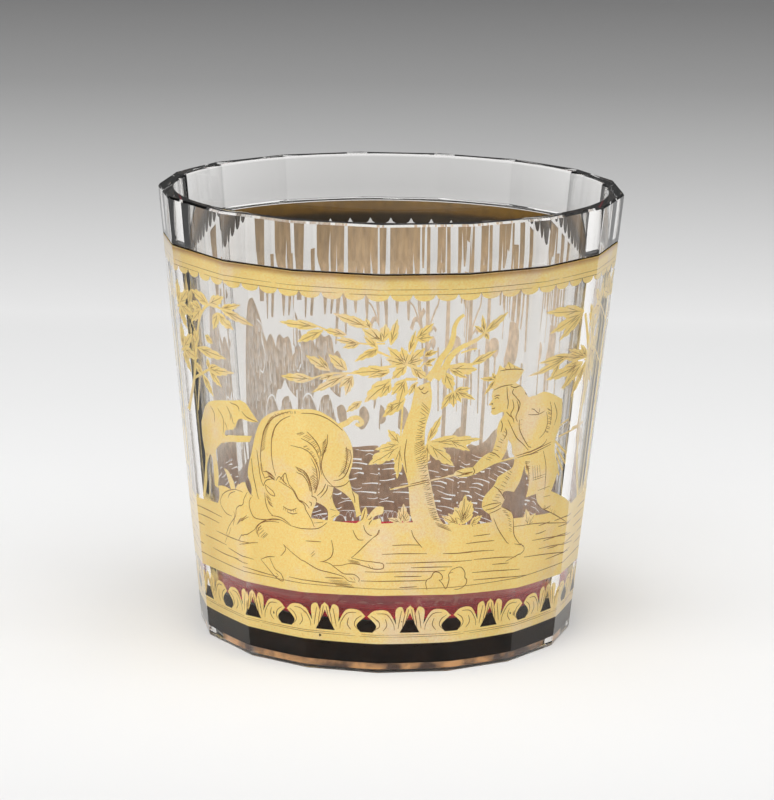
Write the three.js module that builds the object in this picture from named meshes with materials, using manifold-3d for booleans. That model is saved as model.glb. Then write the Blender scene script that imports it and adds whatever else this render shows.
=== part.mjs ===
// Double-walled faceted glass beaker with an engraved gold leaf frieze sealed between its two walls.
// An inner beaker hangs by its thick lip in a faceted sleeve. Leaf borders and a hunting scene lie on
// its wall, and a glass disc over ruby lacquer and a gold rosette closes the sleeve's open foot.
// Millimetres, +Z up. The origin is the centre of the plane that the foot stands on.
// Azimuth 0 faces the front, -Y, and grows towards +X.

import * as THREE from 'three';
import { mergeVertices } from 'three/addons/utils/BufferGeometryUtils.js';
import Module from 'manifold-3d';

const wasm = await Module();
wasm.setup();

const TURN = 2 * Math.PI;
const radians = THREE.MathUtils.degToRad;

// Outside: a tapered body ground to flat facets by hand, so they vary a little in width.
// Radii are measured to the edges between facets, and edges are given by azimuth in degrees.
const HEIGHT = 80;
const FOOT_RADIUS = 33.5;
const RIM_RADIUS = 41.4;
const FACET_EDGES = [
  -2.2, 19.2, 40.8, 62.8, 84, 104, 124.2, 146, 167.2, 188.4, 209.5, 231.7, 250.6, 271, 290.2, 315.4, 336.2,
].map(radians);
const FACETS = FACET_EDGES.length;

// Every wall has its points on the same stations round the beaker, so nested walls never cross
const FACET_STEPS = 3;
const STATIONS = FACETS * FACET_STEPS;
const MEAN_STEP = TURN / STATIONS;

// Sleeve
const SLEEVE_TOP = 71.25;
const SLEEVE_WALL = 1.05;
const FOOT_BEVEL_WIDTH = 0.3;
const FOOT_BEVEL_HEIGHT = 0.5;
const FOOT_INNER_BEVEL = 0.15;

// Inner beaker
const WALL_GAP = 0.22;
const CUP_WALL = 0.9;
const CUP_UNDERSIDE = 8.2;
const CUP_FLOOR = 10;
const CUP_OUTER_CORNER = 3.4;
const CUP_INNER_CORNER = 3;
const SHOULDER_HEIGHT = 71.5;
const RIM_CHAMFER_WIDTH = 0.25;
const RIM_CHAMFER_HEIGHT = 0.4;
const RIM_INNER_BEVEL = 0.3;
const CORNER_STEPS = 3;

// Gold leaf, laid just off the inner beaker's wall
const LEAF_OFFSET = 0.05;
const LEAF_THICKNESS = 0.08;
const SHEET_GAP = 0.1;
const CUT_MARGIN = 1;

// Upper border
const UPPER_BORDER_TOP = 70.4;
const SCALLOP_CUSP = 67.9;
const SCALLOP_TIP = 66.7;
const SCALLOPS = 62;
const SCALLOP_STEPS = 3;

// Frieze
const GROUND_TOP = 26;
const GROUND_BOTTOM = 14;
const FRIEZE_TOP = 66.1;

// Lower border
const LOWER_LINE_TOP = 7.25;
const LOWER_LINE_BOTTOM = 5.2;
const LOWER_BORDER_TOP = 13;
const SCROLL_PAIRS = 14;
const FIRST_SCROLL = radians(-5.5);
const LEAF_OVERLAP = 0.15;

// Resin seams and the foot
const LIP_SEAM_BOTTOM = 71.29;
const LIP_SEAM_TOP = 71.46;
const LIP_SEAM_RECESS = 0.15;
const LIP_SEAM_CLEARANCE = 0.06;
const DISC_RADIUS = 29.5;
const DISC_BOTTOM = 1.65;
const DISC_TOP = 7.78;
const DISC_BEVEL = 0.4;
const PITCH_INNER_RADIUS = 29.7;
const PITCH_TOP = 10.6;
const PITCH_CLEARANCE = 0.05;
const FOOT_SEAM_BOTTOM = 0.5;
const FOOT_SEAM_TOP = 1.6;
const FOOT_SEAM_INNER_RADIUS = 28.9;
const FOOT_SEAM_CLEARANCE = 0.03;
const FOOT_SEAM_HOLLOW = [0.5, 0.2];

// Lacquer and rosette under the inner beaker
const LACQUER_RADIUS = 29.4;
const LACQUER_BOTTOM = 7.82;
const LACQUER_TOP = 8.02;
const ROSETTE_BOTTOM = 8.06;
const ROSETTE_RADIUS = 13;
const ROSETTE_PETALS = 8;

// Outlines on the wall are drawn in millimetres along an arc of this radius, and in heights
const ARC_RADIUS = 35;

// Materials
const GLASS = { color: 0xdfe3e0, roughness: 0.04, metalness: 0, transparent: true, opacity: 0.35 };
const GOLD = { color: 0xe8c268, roughness: 0.35, metalness: 1 };
const RUBY = { color: 0x7c1020, roughness: 0.25, metalness: 0 };
const PITCH = { color: 0x1a0d08, roughness: 0.4, metalness: 0 };
const AMBER = { color: 0x7a4420, roughness: 0.45, metalness: 0 };

// Radii of the walls at a height

// Round walls follow the middle of a facet of mean width
const FLAT_RATIO = Math.cos(Math.PI / FACETS);

function edgeRadius(z) {
  return FOOT_RADIUS + (RIM_RADIUS - FOOT_RADIUS) * z / HEIGHT;
}

function flatRadius(z) {
  return edgeRadius(z) * FLAT_RATIO;
}

function boreRadius(z) {
  return flatRadius(z) - SLEEVE_WALL;
}

function cupRadius(z) {
  return boreRadius(z) - WALL_GAP;
}

function insideRadius(z) {
  return cupRadius(z) - CUP_WALL;
}

function leafRadius(z) {
  return cupRadius(z) + LEAF_OFFSET;
}

const WALL_SLOPE = (RIM_RADIUS - FOOT_RADIUS) * FLAT_RATIO / HEIGHT;

// Edges and stations are counted on past a full turn, and back below zero
function edgeAzimuth(i) {
  const turns = Math.floor(i / FACETS);
  return FACET_EDGES[i - turns * FACETS] + turns * TURN;
}

function stationAzimuth(j) {
  const facet = Math.floor(j / FACET_STEPS);
  const share = j / FACET_STEPS - facet;
  return THREE.MathUtils.lerp(edgeAzimuth(facet), edgeAzimuth(facet + 1), share);
}

function stationAzimuths(first = 0, last = STATIONS - 1) {
  const azimuths = [];
  for (let j = first; j <= last; j += 1) {
    azimuths.push(stationAzimuth(j));
  }
  return azimuths;
}

// How far out a flat facet lies at an azimuth, as a share of the distance at its edges
function facetStretch(azimuth) {
  const turned = FACET_EDGES[0] + THREE.MathUtils.euclideanModulo(azimuth - FACET_EDGES[0], TURN);
  const facet = FACET_EDGES.findLastIndex((edge) => edge <= turned);
  const [start, end] = [edgeAzimuth(facet), edgeAzimuth(facet + 1)];
  return Math.cos((end - start) / 2) / Math.cos(turned - (start + end) / 2);
}

function wallPoint(radius, azimuth, z) {
  return [radius * Math.sin(azimuth), -radius * Math.cos(azimuth), z];
}

// A solid swept round the axis through one section for each azimuth.
// A section is a closed run of [radius, height] points, anticlockwise with the axis on its left.
// A loop section closes on itself, any other starts and ends on the axis.
// A part turn is closed with flat ends.
function sweepRound(sectionAt, azimuths, { loop = true, fullTurn = true } = {}) {
  const sections = azimuths.map((azimuth) => sectionAt(azimuth));
  const size = sections[0].length;
  const positions = [];
  sections.forEach((section, i) => {
    section.forEach(([radius, z]) => positions.push(...wallPoint(radius, azimuths[i], z)));
  });
  const triangles = [];
  const onAxis = (i, j) => sections[i][j][0] === 0;
  const spans = fullTurn ? sections.length : sections.length - 1;
  for (let i = 0; i < spans; i += 1) {
    const next = (i + 1) % sections.length;
    for (let j = 0; j < (loop ? size : size - 1); j += 1) {
      const above = (j + 1) % size;
      const corners = [i * size + j, next * size + j, next * size + above, i * size + above];
      if (!onAxis(i, j)) {
        triangles.push(corners[0], corners[1], corners[2]);
      }
      if (!onAxis(i, above)) {
        triangles.push(corners[0], corners[2], corners[3]);
      }
    }
  }
  if (!fullTurn) {
    const last = (sections.length - 1) * size;
    for (let j = 1; j < size - 1; j += 1) {
      triangles.push(0, j, j + 1);
      triangles.push(last, last + j + 1, last + j);
    }
  }
  const geometry = new THREE.BufferGeometry();
  geometry.setAttribute('position', new THREE.Float32BufferAttribute(positions, 3));
  geometry.setIndex(triangles);
  return geometry;
}

// A rounded corner between a level floor and the tapered wall above it
function floorCorner(radiusAt, floor, cornerRadius, clearance = 0) {
  const wallTilt = Math.atan(WALL_SLOPE);
  const centre = new THREE.Vector2(
    radiusAt(floor) + WALL_SLOPE * cornerRadius - cornerRadius / Math.cos(wallTilt),
    floor + cornerRadius,
  );
  const arc = new THREE.EllipseCurve(
    centre.x,
    centre.y,
    cornerRadius + clearance,
    cornerRadius + clearance,
    -Math.PI / 2,
    -wallTilt,
  );
  return arc.getPoints(CORNER_STEPS).map((point) => [point.x, point.y]);
}

// Manifold solids for joining and cutting

function toManifold(geometry) {
  const bare = geometry.clone();
  bare.deleteAttribute('normal');
  bare.deleteAttribute('uv');
  const merged = mergeVertices(bare, 1e-5);
  return new wasm.Manifold(new wasm.Mesh({
    numProp: 3,
    vertProperties: merged.attributes.position.array,
    triVerts: Uint32Array.from(merged.index.array),
  }));
}

// Points that a cut leaves along straight edges and inside flat faces are dropped
const STRAIGHT_WITHIN = 1e-4;

function toGeometry(manifold) {
  const mesh = manifold.asOriginal().simplify(STRAIGHT_WITHIN).getMesh();
  const geometry = new THREE.BufferGeometry();
  geometry.setAttribute('position', new THREE.BufferAttribute(mesh.vertProperties, 3));
  geometry.setIndex(new THREE.BufferAttribute(mesh.triVerts, 1));
  return geometry;
}

function joinAll(solids) {
  return solids.reduce((joined, solid) => joined.add(solid));
}

// Outlines on the wall

// A shape from a start point and runs of points: one point is a straight side, more are a curve
function outline(start, ...runs) {
  const shape = new THREE.Shape();
  shape.moveTo(...start);
  for (const run of runs) {
    if (run.length === 1) {
      shape.lineTo(...run[0]);
    } else {
      shape.splineThru(run.map(([x, z]) => new THREE.Vector2(x, z)));
    }
  }
  return shape.getPoints(1);
}

// A spray of pointed leaves that fan out from one base, the middle one longest
function spray([baseX, baseZ], heading, length, fingers = 3, fan = 90) {
  const base = new THREE.Vector2(baseX, baseZ);
  const at = (turn, reach) => {
    const angle = radians(heading + turn);
    return base.clone().add(new THREE.Vector2(Math.cos(angle), Math.sin(angle)).multiplyScalar(reach));
  };
  const pitch = fan / (fingers - 1);
  const points = [at(180, length * 0.04)];
  for (let i = 0; i < fingers; i += 1) {
    const turn = i * pitch - fan / 2;
    const reach = length * (1 - 0.35 * Math.abs(turn) / fan);
    points.push(at(turn - pitch * 0.46, length * (i === 0 ? 0.36 : 0.3)));
    points.push(at(turn - pitch * 0.27, reach * 0.7));
    points.push(at(turn, reach));
  }
  points.push(at(fan / 2 + pitch * 0.4, length * 0.4));
  return points;
}

// A thin stem through points, as a ribbon of one width
function stem(points, width) {
  const curve = new THREE.SplineCurve(points.map(([x, z]) => new THREE.Vector2(x, z)));
  const steps = points.length === 2 ? 1 : points.length + 1;
  const left = [];
  const right = [];
  for (let i = 0; i <= steps; i += 1) {
    const point = curve.getPoint(i / steps);
    const tangent = curve.getTangent(i / steps);
    const side = new THREE.Vector2(-tangent.y, tangent.x).multiplyScalar(width / 2);
    left.unshift(point.clone().add(side));
    right.push(point.clone().sub(side));
  }
  return [...right, ...left];
}

// Moves, sizes and mirrors the outlines of a motif
function place(outlines, x, z, scale = 1, mirrored = false) {
  const flip = mirrored ? -1 : 1;
  return outlines.map((points) => {
    const moved = points.map((point) => new THREE.Vector2(
      x + flip * scale * point.x,
      z + scale * point.y,
    ));
    return mirrored ? moved.reverse() : moved;
  });
}

// A stencil is an outline cut straight through the wall, square to the wall at its own middle
const STENCIL_START = 20;
const STENCIL_DEPTH = 26;

function stencil(points) {
  const xs = points.map((point) => point.x);
  const middle = (Math.min(...xs) + Math.max(...xs)) / 2;
  const flat = points.map((point) => new THREE.Vector2(
    leafRadius(point.y) * Math.sin((point.x - middle) / ARC_RADIUS),
    point.y,
  ));
  const azimuth = middle / ARC_RADIUS;
  const outward = new THREE.Vector3(...wallPoint(1, azimuth, 0));
  const sideways = new THREE.Vector3(Math.cos(azimuth), Math.sin(azimuth), 0);
  const up = new THREE.Vector3(0, 0, 1);
  const options = { depth: STENCIL_DEPTH, bevelEnabled: false, steps: 1 };
  const geometry = new THREE.ExtrudeGeometry(new THREE.Shape(flat), options);
  geometry.translate(0, 0, STENCIL_START);
  geometry.applyMatrix4(new THREE.Matrix4().makeBasis(sideways, up, outward));
  return toManifold(geometry);
}

// A band cut through the wall, with a lower and an upper line given at each azimuth
function bandStencil(azimuths, bottomAt, topAt, fullTurn = true) {
  const far = STENCIL_START + STENCIL_DEPTH;
  const sectionAt = (azimuth) => [
    [STENCIL_START, bottomAt(azimuth)],
    [far, bottomAt(azimuth)],
    [far, topAt(azimuth)],
    [STENCIL_START, topAt(azimuth)],
  ];
  return toManifold(sweepRound(sectionAt, azimuths, { fullTurn }));
}

// The whole sheet of leaf between two heights, all round or between two stations
function leafSheet(bottom, top, first, last) {
  const sectionAt = () => [
    [leafRadius(bottom), bottom],
    [leafRadius(bottom) + LEAF_THICKNESS, bottom],
    [leafRadius(top) + LEAF_THICKNESS, top],
    [leafRadius(top), top],
  ];
  if (first === undefined) {
    return toManifold(sweepRound(sectionAt, stationAzimuths()));
  }
  const azimuths = stationAzimuths(first, last);
  azimuths[azimuths.length - 1] -= SHEET_GAP / ARC_RADIUS;
  return toManifold(sweepRound(sectionAt, azimuths, { fullTurn: false }));
}

// Glass

function makeOuterSleeve() {
  const bevelEdge = edgeRadius(0) - FOOT_BEVEL_WIDTH;
  const sectionAt = (azimuth) => {
    const stretch = facetStretch(azimuth);
    return [
      [boreRadius(0) + FOOT_INNER_BEVEL, 0],
      [bevelEdge * stretch, 0],
      [edgeRadius(FOOT_BEVEL_HEIGHT) * stretch, FOOT_BEVEL_HEIGHT],
      [edgeRadius(SLEEVE_TOP) * stretch, SLEEVE_TOP],
      [boreRadius(SLEEVE_TOP), SLEEVE_TOP],
      [boreRadius(FOOT_INNER_BEVEL), FOOT_INNER_BEVEL],
    ];
  };
  return sweepRound(sectionAt, stationAzimuths());
}

function makeInnerBeaker() {
  const chamferBottom = HEIGHT - RIM_CHAMFER_HEIGHT;
  const rimEdge = edgeRadius(HEIGHT) - RIM_CHAMFER_WIDTH;
  const underside = floorCorner(cupRadius, CUP_UNDERSIDE, CUP_OUTER_CORNER);
  const inside = floorCorner(insideRadius, CUP_FLOOR, CUP_INNER_CORNER).reverse();
  const sectionAt = (azimuth) => {
    const stretch = facetStretch(azimuth);
    return [
      [0, CUP_UNDERSIDE],
      ...underside,
      [cupRadius(SHOULDER_HEIGHT), SHOULDER_HEIGHT],
      [edgeRadius(SHOULDER_HEIGHT) * stretch, SHOULDER_HEIGHT],
      [edgeRadius(chamferBottom) * stretch, chamferBottom],
      [rimEdge * stretch, HEIGHT],
      [insideRadius(HEIGHT) + RIM_INNER_BEVEL, HEIGHT],
      [insideRadius(HEIGHT - RIM_INNER_BEVEL), HEIGHT - RIM_INNER_BEVEL],
      ...inside,
      [0, CUP_FLOOR],
    ];
  };
  return sweepRound(sectionAt, stationAzimuths(), { loop: false });
}

function makeBaseDisc() {
  const sectionAt = () => [
    [0, DISC_BOTTOM],
    [DISC_RADIUS - DISC_BEVEL, DISC_BOTTOM],
    [DISC_RADIUS, DISC_BOTTOM + DISC_BEVEL],
    [DISC_RADIUS, DISC_TOP],
    [0, DISC_TOP],
  ];
  return sweepRound(sectionAt, stationAzimuths(), { loop: false });
}

// Resin

function makeLipSeam() {
  const inner = cupRadius(LIP_SEAM_TOP) + LIP_SEAM_CLEARANCE;
  const outer = edgeRadius(LIP_SEAM_BOTTOM) - LIP_SEAM_RECESS;
  const sectionAt = (azimuth) => {
    const stretch = facetStretch(azimuth);
    return [
      [inner, LIP_SEAM_BOTTOM],
      [outer * stretch, LIP_SEAM_BOTTOM],
      [outer * stretch, LIP_SEAM_TOP],
      [inner, LIP_SEAM_TOP],
    ];
  };
  return sweepRound(sectionAt, stationAzimuths());
}

// Dark pitch fills the space round the disc and under the inner beaker's rounded corner
function makePitchRing() {
  const corner = floorCorner(cupRadius, CUP_UNDERSIDE, CUP_OUTER_CORNER, PITCH_CLEARANCE);
  const under = corner.slice(1, -1).reverse();
  const [below, above] = corner.slice(-2);
  const share = (PITCH_TOP - below[1]) / (above[1] - below[1]);
  const topRadius = THREE.MathUtils.lerp(below[0], above[0], share);
  const sectionAt = () => [
    [PITCH_INNER_RADIUS, DISC_BOTTOM],
    [cupRadius(DISC_BOTTOM), DISC_BOTTOM],
    [cupRadius(PITCH_TOP), PITCH_TOP],
    [topRadius, PITCH_TOP],
    ...under,
    [PITCH_INNER_RADIUS, CUP_UNDERSIDE - PITCH_CLEARANCE],
  ];
  return sweepRound(sectionAt, stationAzimuths());
}

// A hollow fillet of amber resin seals the disc's lower edge to the sleeve
function makeFootSeam() {
  const outer = (z) => boreRadius(z) - FOOT_SEAM_CLEARANCE;
  const hollow = new THREE.QuadraticBezierCurve(
    new THREE.Vector2(FOOT_SEAM_INNER_RADIUS, FOOT_SEAM_TOP),
    new THREE.Vector2(outer(FOOT_SEAM_TOP) - FOOT_SEAM_HOLLOW[0], FOOT_SEAM_TOP - FOOT_SEAM_HOLLOW[1]),
    new THREE.Vector2(outer(FOOT_SEAM_BOTTOM), FOOT_SEAM_BOTTOM),
  );
  const sectionAt = () => [
    ...hollow.getPoints(2).map((point) => [point.x, point.y]),
    [outer(FOOT_SEAM_TOP), FOOT_SEAM_TOP],
  ];
  return sweepRound(sectionAt, stationAzimuths());
}

// Lacquer and rosette

function makeRubyLacquer() {
  const sectionAt = () => [
    [0, LACQUER_BOTTOM],
    [LACQUER_RADIUS, LACQUER_BOTTOM],
    [LACQUER_RADIUS, LACQUER_TOP],
    [0, LACQUER_TOP],
  ];
  return sweepRound(sectionAt, stationAzimuths(), { loop: false });
}

// A round sheet with a wavy edge and drop-shaped openings between its petals
function makeGoldRosette() {
  const petalTurn = TURN / ROSETTE_PETALS;
  const edgeSteps = 5;
  const wave = 0.08;
  const edge = [];
  for (let i = 0; i < ROSETTE_PETALS * edgeSteps; i += 1) {
    const angle = i * petalTurn / edgeSteps;
    const radius = ROSETTE_RADIUS * (1 - wave + wave * Math.abs(Math.sin(angle * ROSETTE_PETALS / 2)));
    edge.push(new THREE.Vector2(radius * Math.cos(angle), radius * Math.sin(angle)));
  }
  const rosette = new THREE.Shape(edge);
  for (let i = 0; i < ROSETTE_PETALS; i += 1) {
    const drop = [[0.26, 0], [0.5, 0.08], [0.7, 0.12], [0.8, 0], [0.7, -0.12], [0.5, -0.08]];
    const angle = i * petalTurn;
    const hole = drop.map(([s, t]) => new THREE.Vector2(s, t)
      .multiplyScalar(ROSETTE_RADIUS)
      .rotateAround(new THREE.Vector2(), angle));
    rosette.holes.push(new THREE.Path(hole));
  }
  const geometry = new THREE.ExtrudeGeometry(rosette, { depth: LEAF_THICKNESS, bevelEnabled: false });
  geometry.translate(0, 0, ROSETTE_BOTTOM);
  return geometry;
}

// Borders

// A plain band with a hem of shallow scallops
function makeUpperBorder() {
  const azimuths = [];
  for (let i = 0; i < SCALLOPS * SCALLOP_STEPS; i += 1) {
    azimuths.push(i * TURN / (SCALLOPS * SCALLOP_STEPS));
  }
  const hemAt = (azimuth) => {
    const across = 2 * THREE.MathUtils.euclideanModulo(azimuth * SCALLOPS / TURN, 1) - 1;
    return SCALLOP_CUSP - (SCALLOP_CUSP - SCALLOP_TIP) * Math.sqrt(1 - across * across);
  };
  const band = bandStencil(azimuths, hemAt, () => UPPER_BORDER_TOP + CUT_MARGIN);
  return toGeometry(leafSheet(SCALLOP_TIP - CUT_MARGIN, UPPER_BORDER_TOP).intersect(band));
}

// Half of a pair of acanthus scrolls: a leaf curls over a round opening, and two fingers lean
// away from it to meet the next pair over a pointed opening
function halfScroll() {
  const half = Math.PI * ARC_RADIUS / SCROLL_PAIRS;
  const base = LOWER_LINE_TOP - LEAF_OVERLAP;
  return outline(
    [1, base],
    [[1.85, 8.5], [0.2, 10.2]],
    [[1.5, 11.3], [3.8, 11.2], [5.3, 8.8]],
    [[5.2, 11.4], [6.3, 12], [6.9, 10.6]],
    [[7.2, 11.7]],
    [[half + LEAF_OVERLAP / 2, 12.3]],
    [[half + LEAF_OVERLAP / 2, 11.1]],
    [[7.1, 9.3], [5.9, base]],
  );
}

function makeLowerBorder() {
  const pair = TURN * ARC_RADIUS / SCROLL_PAIRS;
  const line = bandStencil(stationAzimuths(), () => LOWER_LINE_BOTTOM - CUT_MARGIN, () => LOWER_LINE_TOP);
  const stencils = [line];
  for (let i = 0; i < SCROLL_PAIRS; i += 1) {
    const middle = FIRST_SCROLL * ARC_RADIUS + i * pair;
    for (const mirrored of [false, true]) {
      stencils.push(...place([halfScroll()], middle, 0, 1, mirrored).map(stencil));
    }
  }
  return toGeometry(leafSheet(LOWER_LINE_BOTTOM, LOWER_BORDER_TOP).intersect(joinAll(stencils)));
}

// Motifs of the frieze, each drawn from a point on the ground at [0, 0]

const STEM_WIDTH = 0.4;

// An old tree with a bent trunk, two boughs and sprays of leaves
function bigTree() {
  const trunk = outline(
    [-3.6, -3],
    [[-2.6, -1], [-4.4, 8.6], [-5.3, 13.4], [-3.3, 22.3], [-3.2, 26.4]],
    [[-1, 27.2]],
    [[1.6, 32.2], [3.4, 37]],
    [[1.8, 31.4], [-0.6, 24], [-1.5, 14.6], [0.7, 3.6], [4.4, -3]],
  );
  const bough = outline(
    [-0.4, 27],
    [[3, 31.2], [7.3, 34.2]],
    [[7.6, 33.5]],
    [[3.4, 30.2], [0, 25]],
  );
  const sprays = [
    spray([-17.3, 34.4], 190, 7.8, 3, 70),
    spray([-11.8, 33], 182, 6.6, 3, 80),
    spray([-9.6, 34], 150, 6.4, 3, 60),
    spray([-8.6, 31.4], 112, 4.8, 3, 90),
    spray([-9, 31.6], 205, 5, 3, 70),
    spray([-13, 26.9], 183, 7.8, 5, 130),
    spray([-18.2, 26], 182, 7.2, 3, 90),
    spray([-6.6, 26.8], 235, 6.8, 3, 70),
    spray([-6.4, 30.4], 96, 6.6, 3, 60),
    spray([-4.2, 29.6], 55, 7.2, 3, 60),
    spray([-4.6, 28.8], 178, 5.2, 5, 190),
    spray([-4.6, 26.8], 258, 6.2, 3, 70),
    spray([1.8, 28], 2, 5.4, 3, 90),
    spray([5.4, 28.2], 28, 5.8, 3, 90),
    spray([0.8, 27], -62, 5, 3, 70),
    spray([3.4, 24.2], -55, 5, 3, 110),
    spray([7.2, 33.8], 48, 5.8, 5, 150),
    spray([-4.8, 15], 216, 7.6, 4, 120),
    spray([-1.3, 14.2], -2, 9.4, 5, 130),
  ];
  const stems = [
    stem([[-18.4, 26], [-11, 27.6], [-3.4, 28]], STEM_WIDTH),
    stem([[-17.6, 34.4], [-11, 32.6], [-3.4, 28.8]], STEM_WIDTH),
    stem([[-9.8, 34.2], [-8, 31]], STEM_WIDTH),
    stem([[0, 26.6], [5.6, 28.4]], STEM_WIDTH),
    stem([[0.8, 27], [3.6, 24]], STEM_WIDTH),
  ];
  return [trunk, bough, ...sprays, ...stems];
}

// A slim tree with sprays of leaves on short stems, for the sides
function slimTree() {
  const trunk = outline(
    [-1.8, -2],
    [[-1, 4], [-0.6, 20], [0.2, 34]],
    [[0.6, 34]],
    [[1, 20], [0.8, 4], [2, -2]],
  );
  const tips = [[-6, 31.5], [6, 33], [-5.5, 23], [6, 25.5], [0.4, 33.6]];
  const sprays = tips.map(([x, z]) => spray([x, z], 90 - 75 * Math.sign(Math.round(x)), 5.4, 4, 150));
  const stems = tips.slice(0, -1).map(([x, z]) => stem([[0, z - 4], [x, z]], STEM_WIDTH));
  return [trunk, ...sprays, ...stems];
}

// A tall palm-like tree with hanging fronds
function hangingTree() {
  const trunk = outline(
    [-1.4, -2],
    [[-0.6, 8], [-0.9, 18], [-0.3, 27]],
    [[0.4, 27]],
    [[0.3, 18], [0.6, 8], [1.4, -2]],
  );
  const fronds = [-9, -6.2, -3.6, 3.4, 6.4, 9.4].map((reach, i) => {
    const drop = 19 + (i % 3) * 2.4;
    return stem([[0, 26.6], [reach * 0.6, 29.6], [reach, 27.4], [reach * 1.06, drop]], 0.8);
  });
  return [trunk, ...fronds];
}

// A hump of rock with a rounded top
function rock(width, height) {
  return outline(
    [-width / 2, -2],
    [[-width * 0.44, height * 0.5], [-width * 0.28, height * 0.92], [0, height], [width * 0.3, height * 0.86],
      [width * 0.45, height * 0.45], [width / 2, -2]],
  );
}

// A clump of upright leaves
function bush(height) {
  return [spray([0, -0.4], 92, height + 0.4, 5, 150)];
}

// A boar with an arched back, its head down between its forelegs
function boar() {
  const body = outline(
    [-9.6, -2],
    [[-10.7, 4.9], [-10.4, 11], [-7.3, 16.4], [-1.6, 19.6], [4.9, 19.5], [9.1, 15.8], [9.7, 11], [9, 8.4]],
    [[9.6, 6.4], [10.8, 5.3], [10.4, 3.6], [11.2, 1]],
    [[10.3, 0.4]],
    [[9.7, 3.8], [6.4, 6.6]],
    [[6.2, 3.4], [7.4, 2.1], [5.9, -2]],
    [[5, -2]],
    [[5.4, 2.6], [3, 3.9], [2.4, -2]],
  );
  const tail = stem([[7, 17], [9.6, 19], [11.4, 18.6], [10.9, 17.3]], 0.7);
  return [body, tail];
}

// A hound's raised head with pricked ears, seen over the ground
function houndHead() {
  return outline(
    [-6, -4],
    [[-5.6, 0.4], [-2.5, 2.2]],
    [[-3.4, 5.6]],
    [[-1.6, 4.8], [-0.6, 3.6], [2.4, 3.2]],
    [[4, -4]],
  );
}

// A running hound, head to the left
function hound() {
  const body = outline(
    [-9.4, 6.4],
    [[-7.6, 7.4], [-6.4, 8.6]],
    [[-5.6, 7.4]],
    [[-3, 6.6], [1, 7], [4.6, 6.6]],
    [[6.8, 7.6], [9, 10.2]],
    [[9.5, 9.9]],
    [[7.8, 6.6], [6.6, 4.6]],
    [[8, 2.6], [9.8, 0.4]],
    [[8.6, 0.2]],
    [[6, 2.6], [3.8, 3.8]],
    [[1, 4.2], [-2.4, 3.4]],
    [[-5.6, 1.6], [-8.4, 0.8]],
    [[-8.8, 1.7]],
    [[-6.4, 3], [-6.4, 5]],
  );
  const hindLeg = stem([[5.6, 5], [5.4, 2.6], [6.6, 0], [5.4, -1]], 0.9);
  const foreLeg = stem([[-4.6, 4.4], [-4.8, 2], [-6.2, 0], [-5.6, -1]], 0.9);
  return [body, hindLeg, foreLeg];
}

// A stag leaping to the left, with antlers
function stag() {
  const body = outline(
    [-10.4, 14.6],
    [[-8.4, 16.2], [-6.8, 16]],
    [[-6.6, 12.4], [-4, 11], [1, 11], [5.6, 11.4]],
    [[7.6, 12.6]],
    [[7.2, 10], [7.4, 7.6]],
    [[9, 4.4], [10.4, -1]],
    [[9.4, -1]],
    [[7.4, 4.2], [5, 6.6]],
    [[1, 7], [-3, 6.6]],
    [[-6.6, 4.6], [-10.4, 4.4]],
    [[-10.4, 5.4]],
    [[-7.4, 6], [-6.8, 8.8], [-8.4, 13.4]],
  );
  const legs = [
    stem([[-4.6, 8], [-5, 4], [-7.2, 2.4], [-7.4, -1]], 0.8),
    stem([[5.4, 8.4], [5.8, 4.6], [4.6, 2.6], [5.2, -1]], 0.9),
  ];
  const antlers = [
    stem([[-7.6, 15.8], [-6.6, 18.4], [-8, 21.4]], 0.4),
    stem([[-6.9, 17.6], [-4.6, 18.8], [-4.4, 20.8]], 0.4),
    stem([[-7.1, 19], [-9.4, 19.4]], 0.4),
  ];
  return [body, ...legs, ...antlers];
}

// A huntsman in coat and cocked hat, lunging to the left
function huntsman() {
  const coat = outline(
    [-2.6, 23.2],
    [[-0.6, 24], [2, 24.2], [5.6, 22.8]],
    [[7.2, 18.4], [6.2, 14.4], [8, 7.4]],
    [[4, 6], [-0.3, 5.8]],
    [[-1.2, 8.6], [-0.8, 11.6]],
    [[-3.6, 12.8], [-4.6, 11.6]],
    [[-4.4, 16], [-5, 20.8]],
  );
  const head = outline(
    [-8.4, 26.4],
    [[-9, 24.9], [-8.2, 23.9], [-8.3, 22.6], [-6.4, 21.6]],
    [[-4.6, 20.2]],
    [[-1.6, 22.4], [-1.6, 25.4]],
    [[-3.8, 27.2]],
  );
  const hat = outline(
    [-11, 28],
    [[-9, 27.9], [-7.8, 28.9]],
    [[-6.4, 30.2], [-4.6, 30.3], [-2.4, 28.8]],
    [[-3.2, 26.6], [-5.6, 25.6], [-8.8, 26.4]],
  );
  const arm = outline(
    [-4.4, 21.2],
    [[-6.8, 19.2], [-8, 15.4], [-10.8, 12.9], [-13.6, 12.4]],
    [[-14.4, 11.6]],
    [[-13, 10.9], [-10.2, 11.2], [-6.2, 12.8], [-4.4, 16.4], [-2.6, 17.4]],
  );
  const breeches = outline(
    [-3.4, 13],
    [[-5.4, 10.6], [-8, 8.2], [-9, 5.4], [-7.6, 3.4]],
    [[-6.6, 0.6], [-4, -4]],
    [[-1.4, -4]],
    [[-2, 1.6], [-4, 4.4]],
    [[-2.4, 8], [0.8, 7.4]],
  );
  const backLeg = outline(
    [1.6, 7],
    [[3, 3.6], [6.6, 1.4], [11, -1], [14, -4]],
    [[15.6, -4]],
    [[13.6, 0], [10, 3], [7.6, 7.6]],
  );
  return [coat, head, hat, arm, breeches, backLeg];
}

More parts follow.
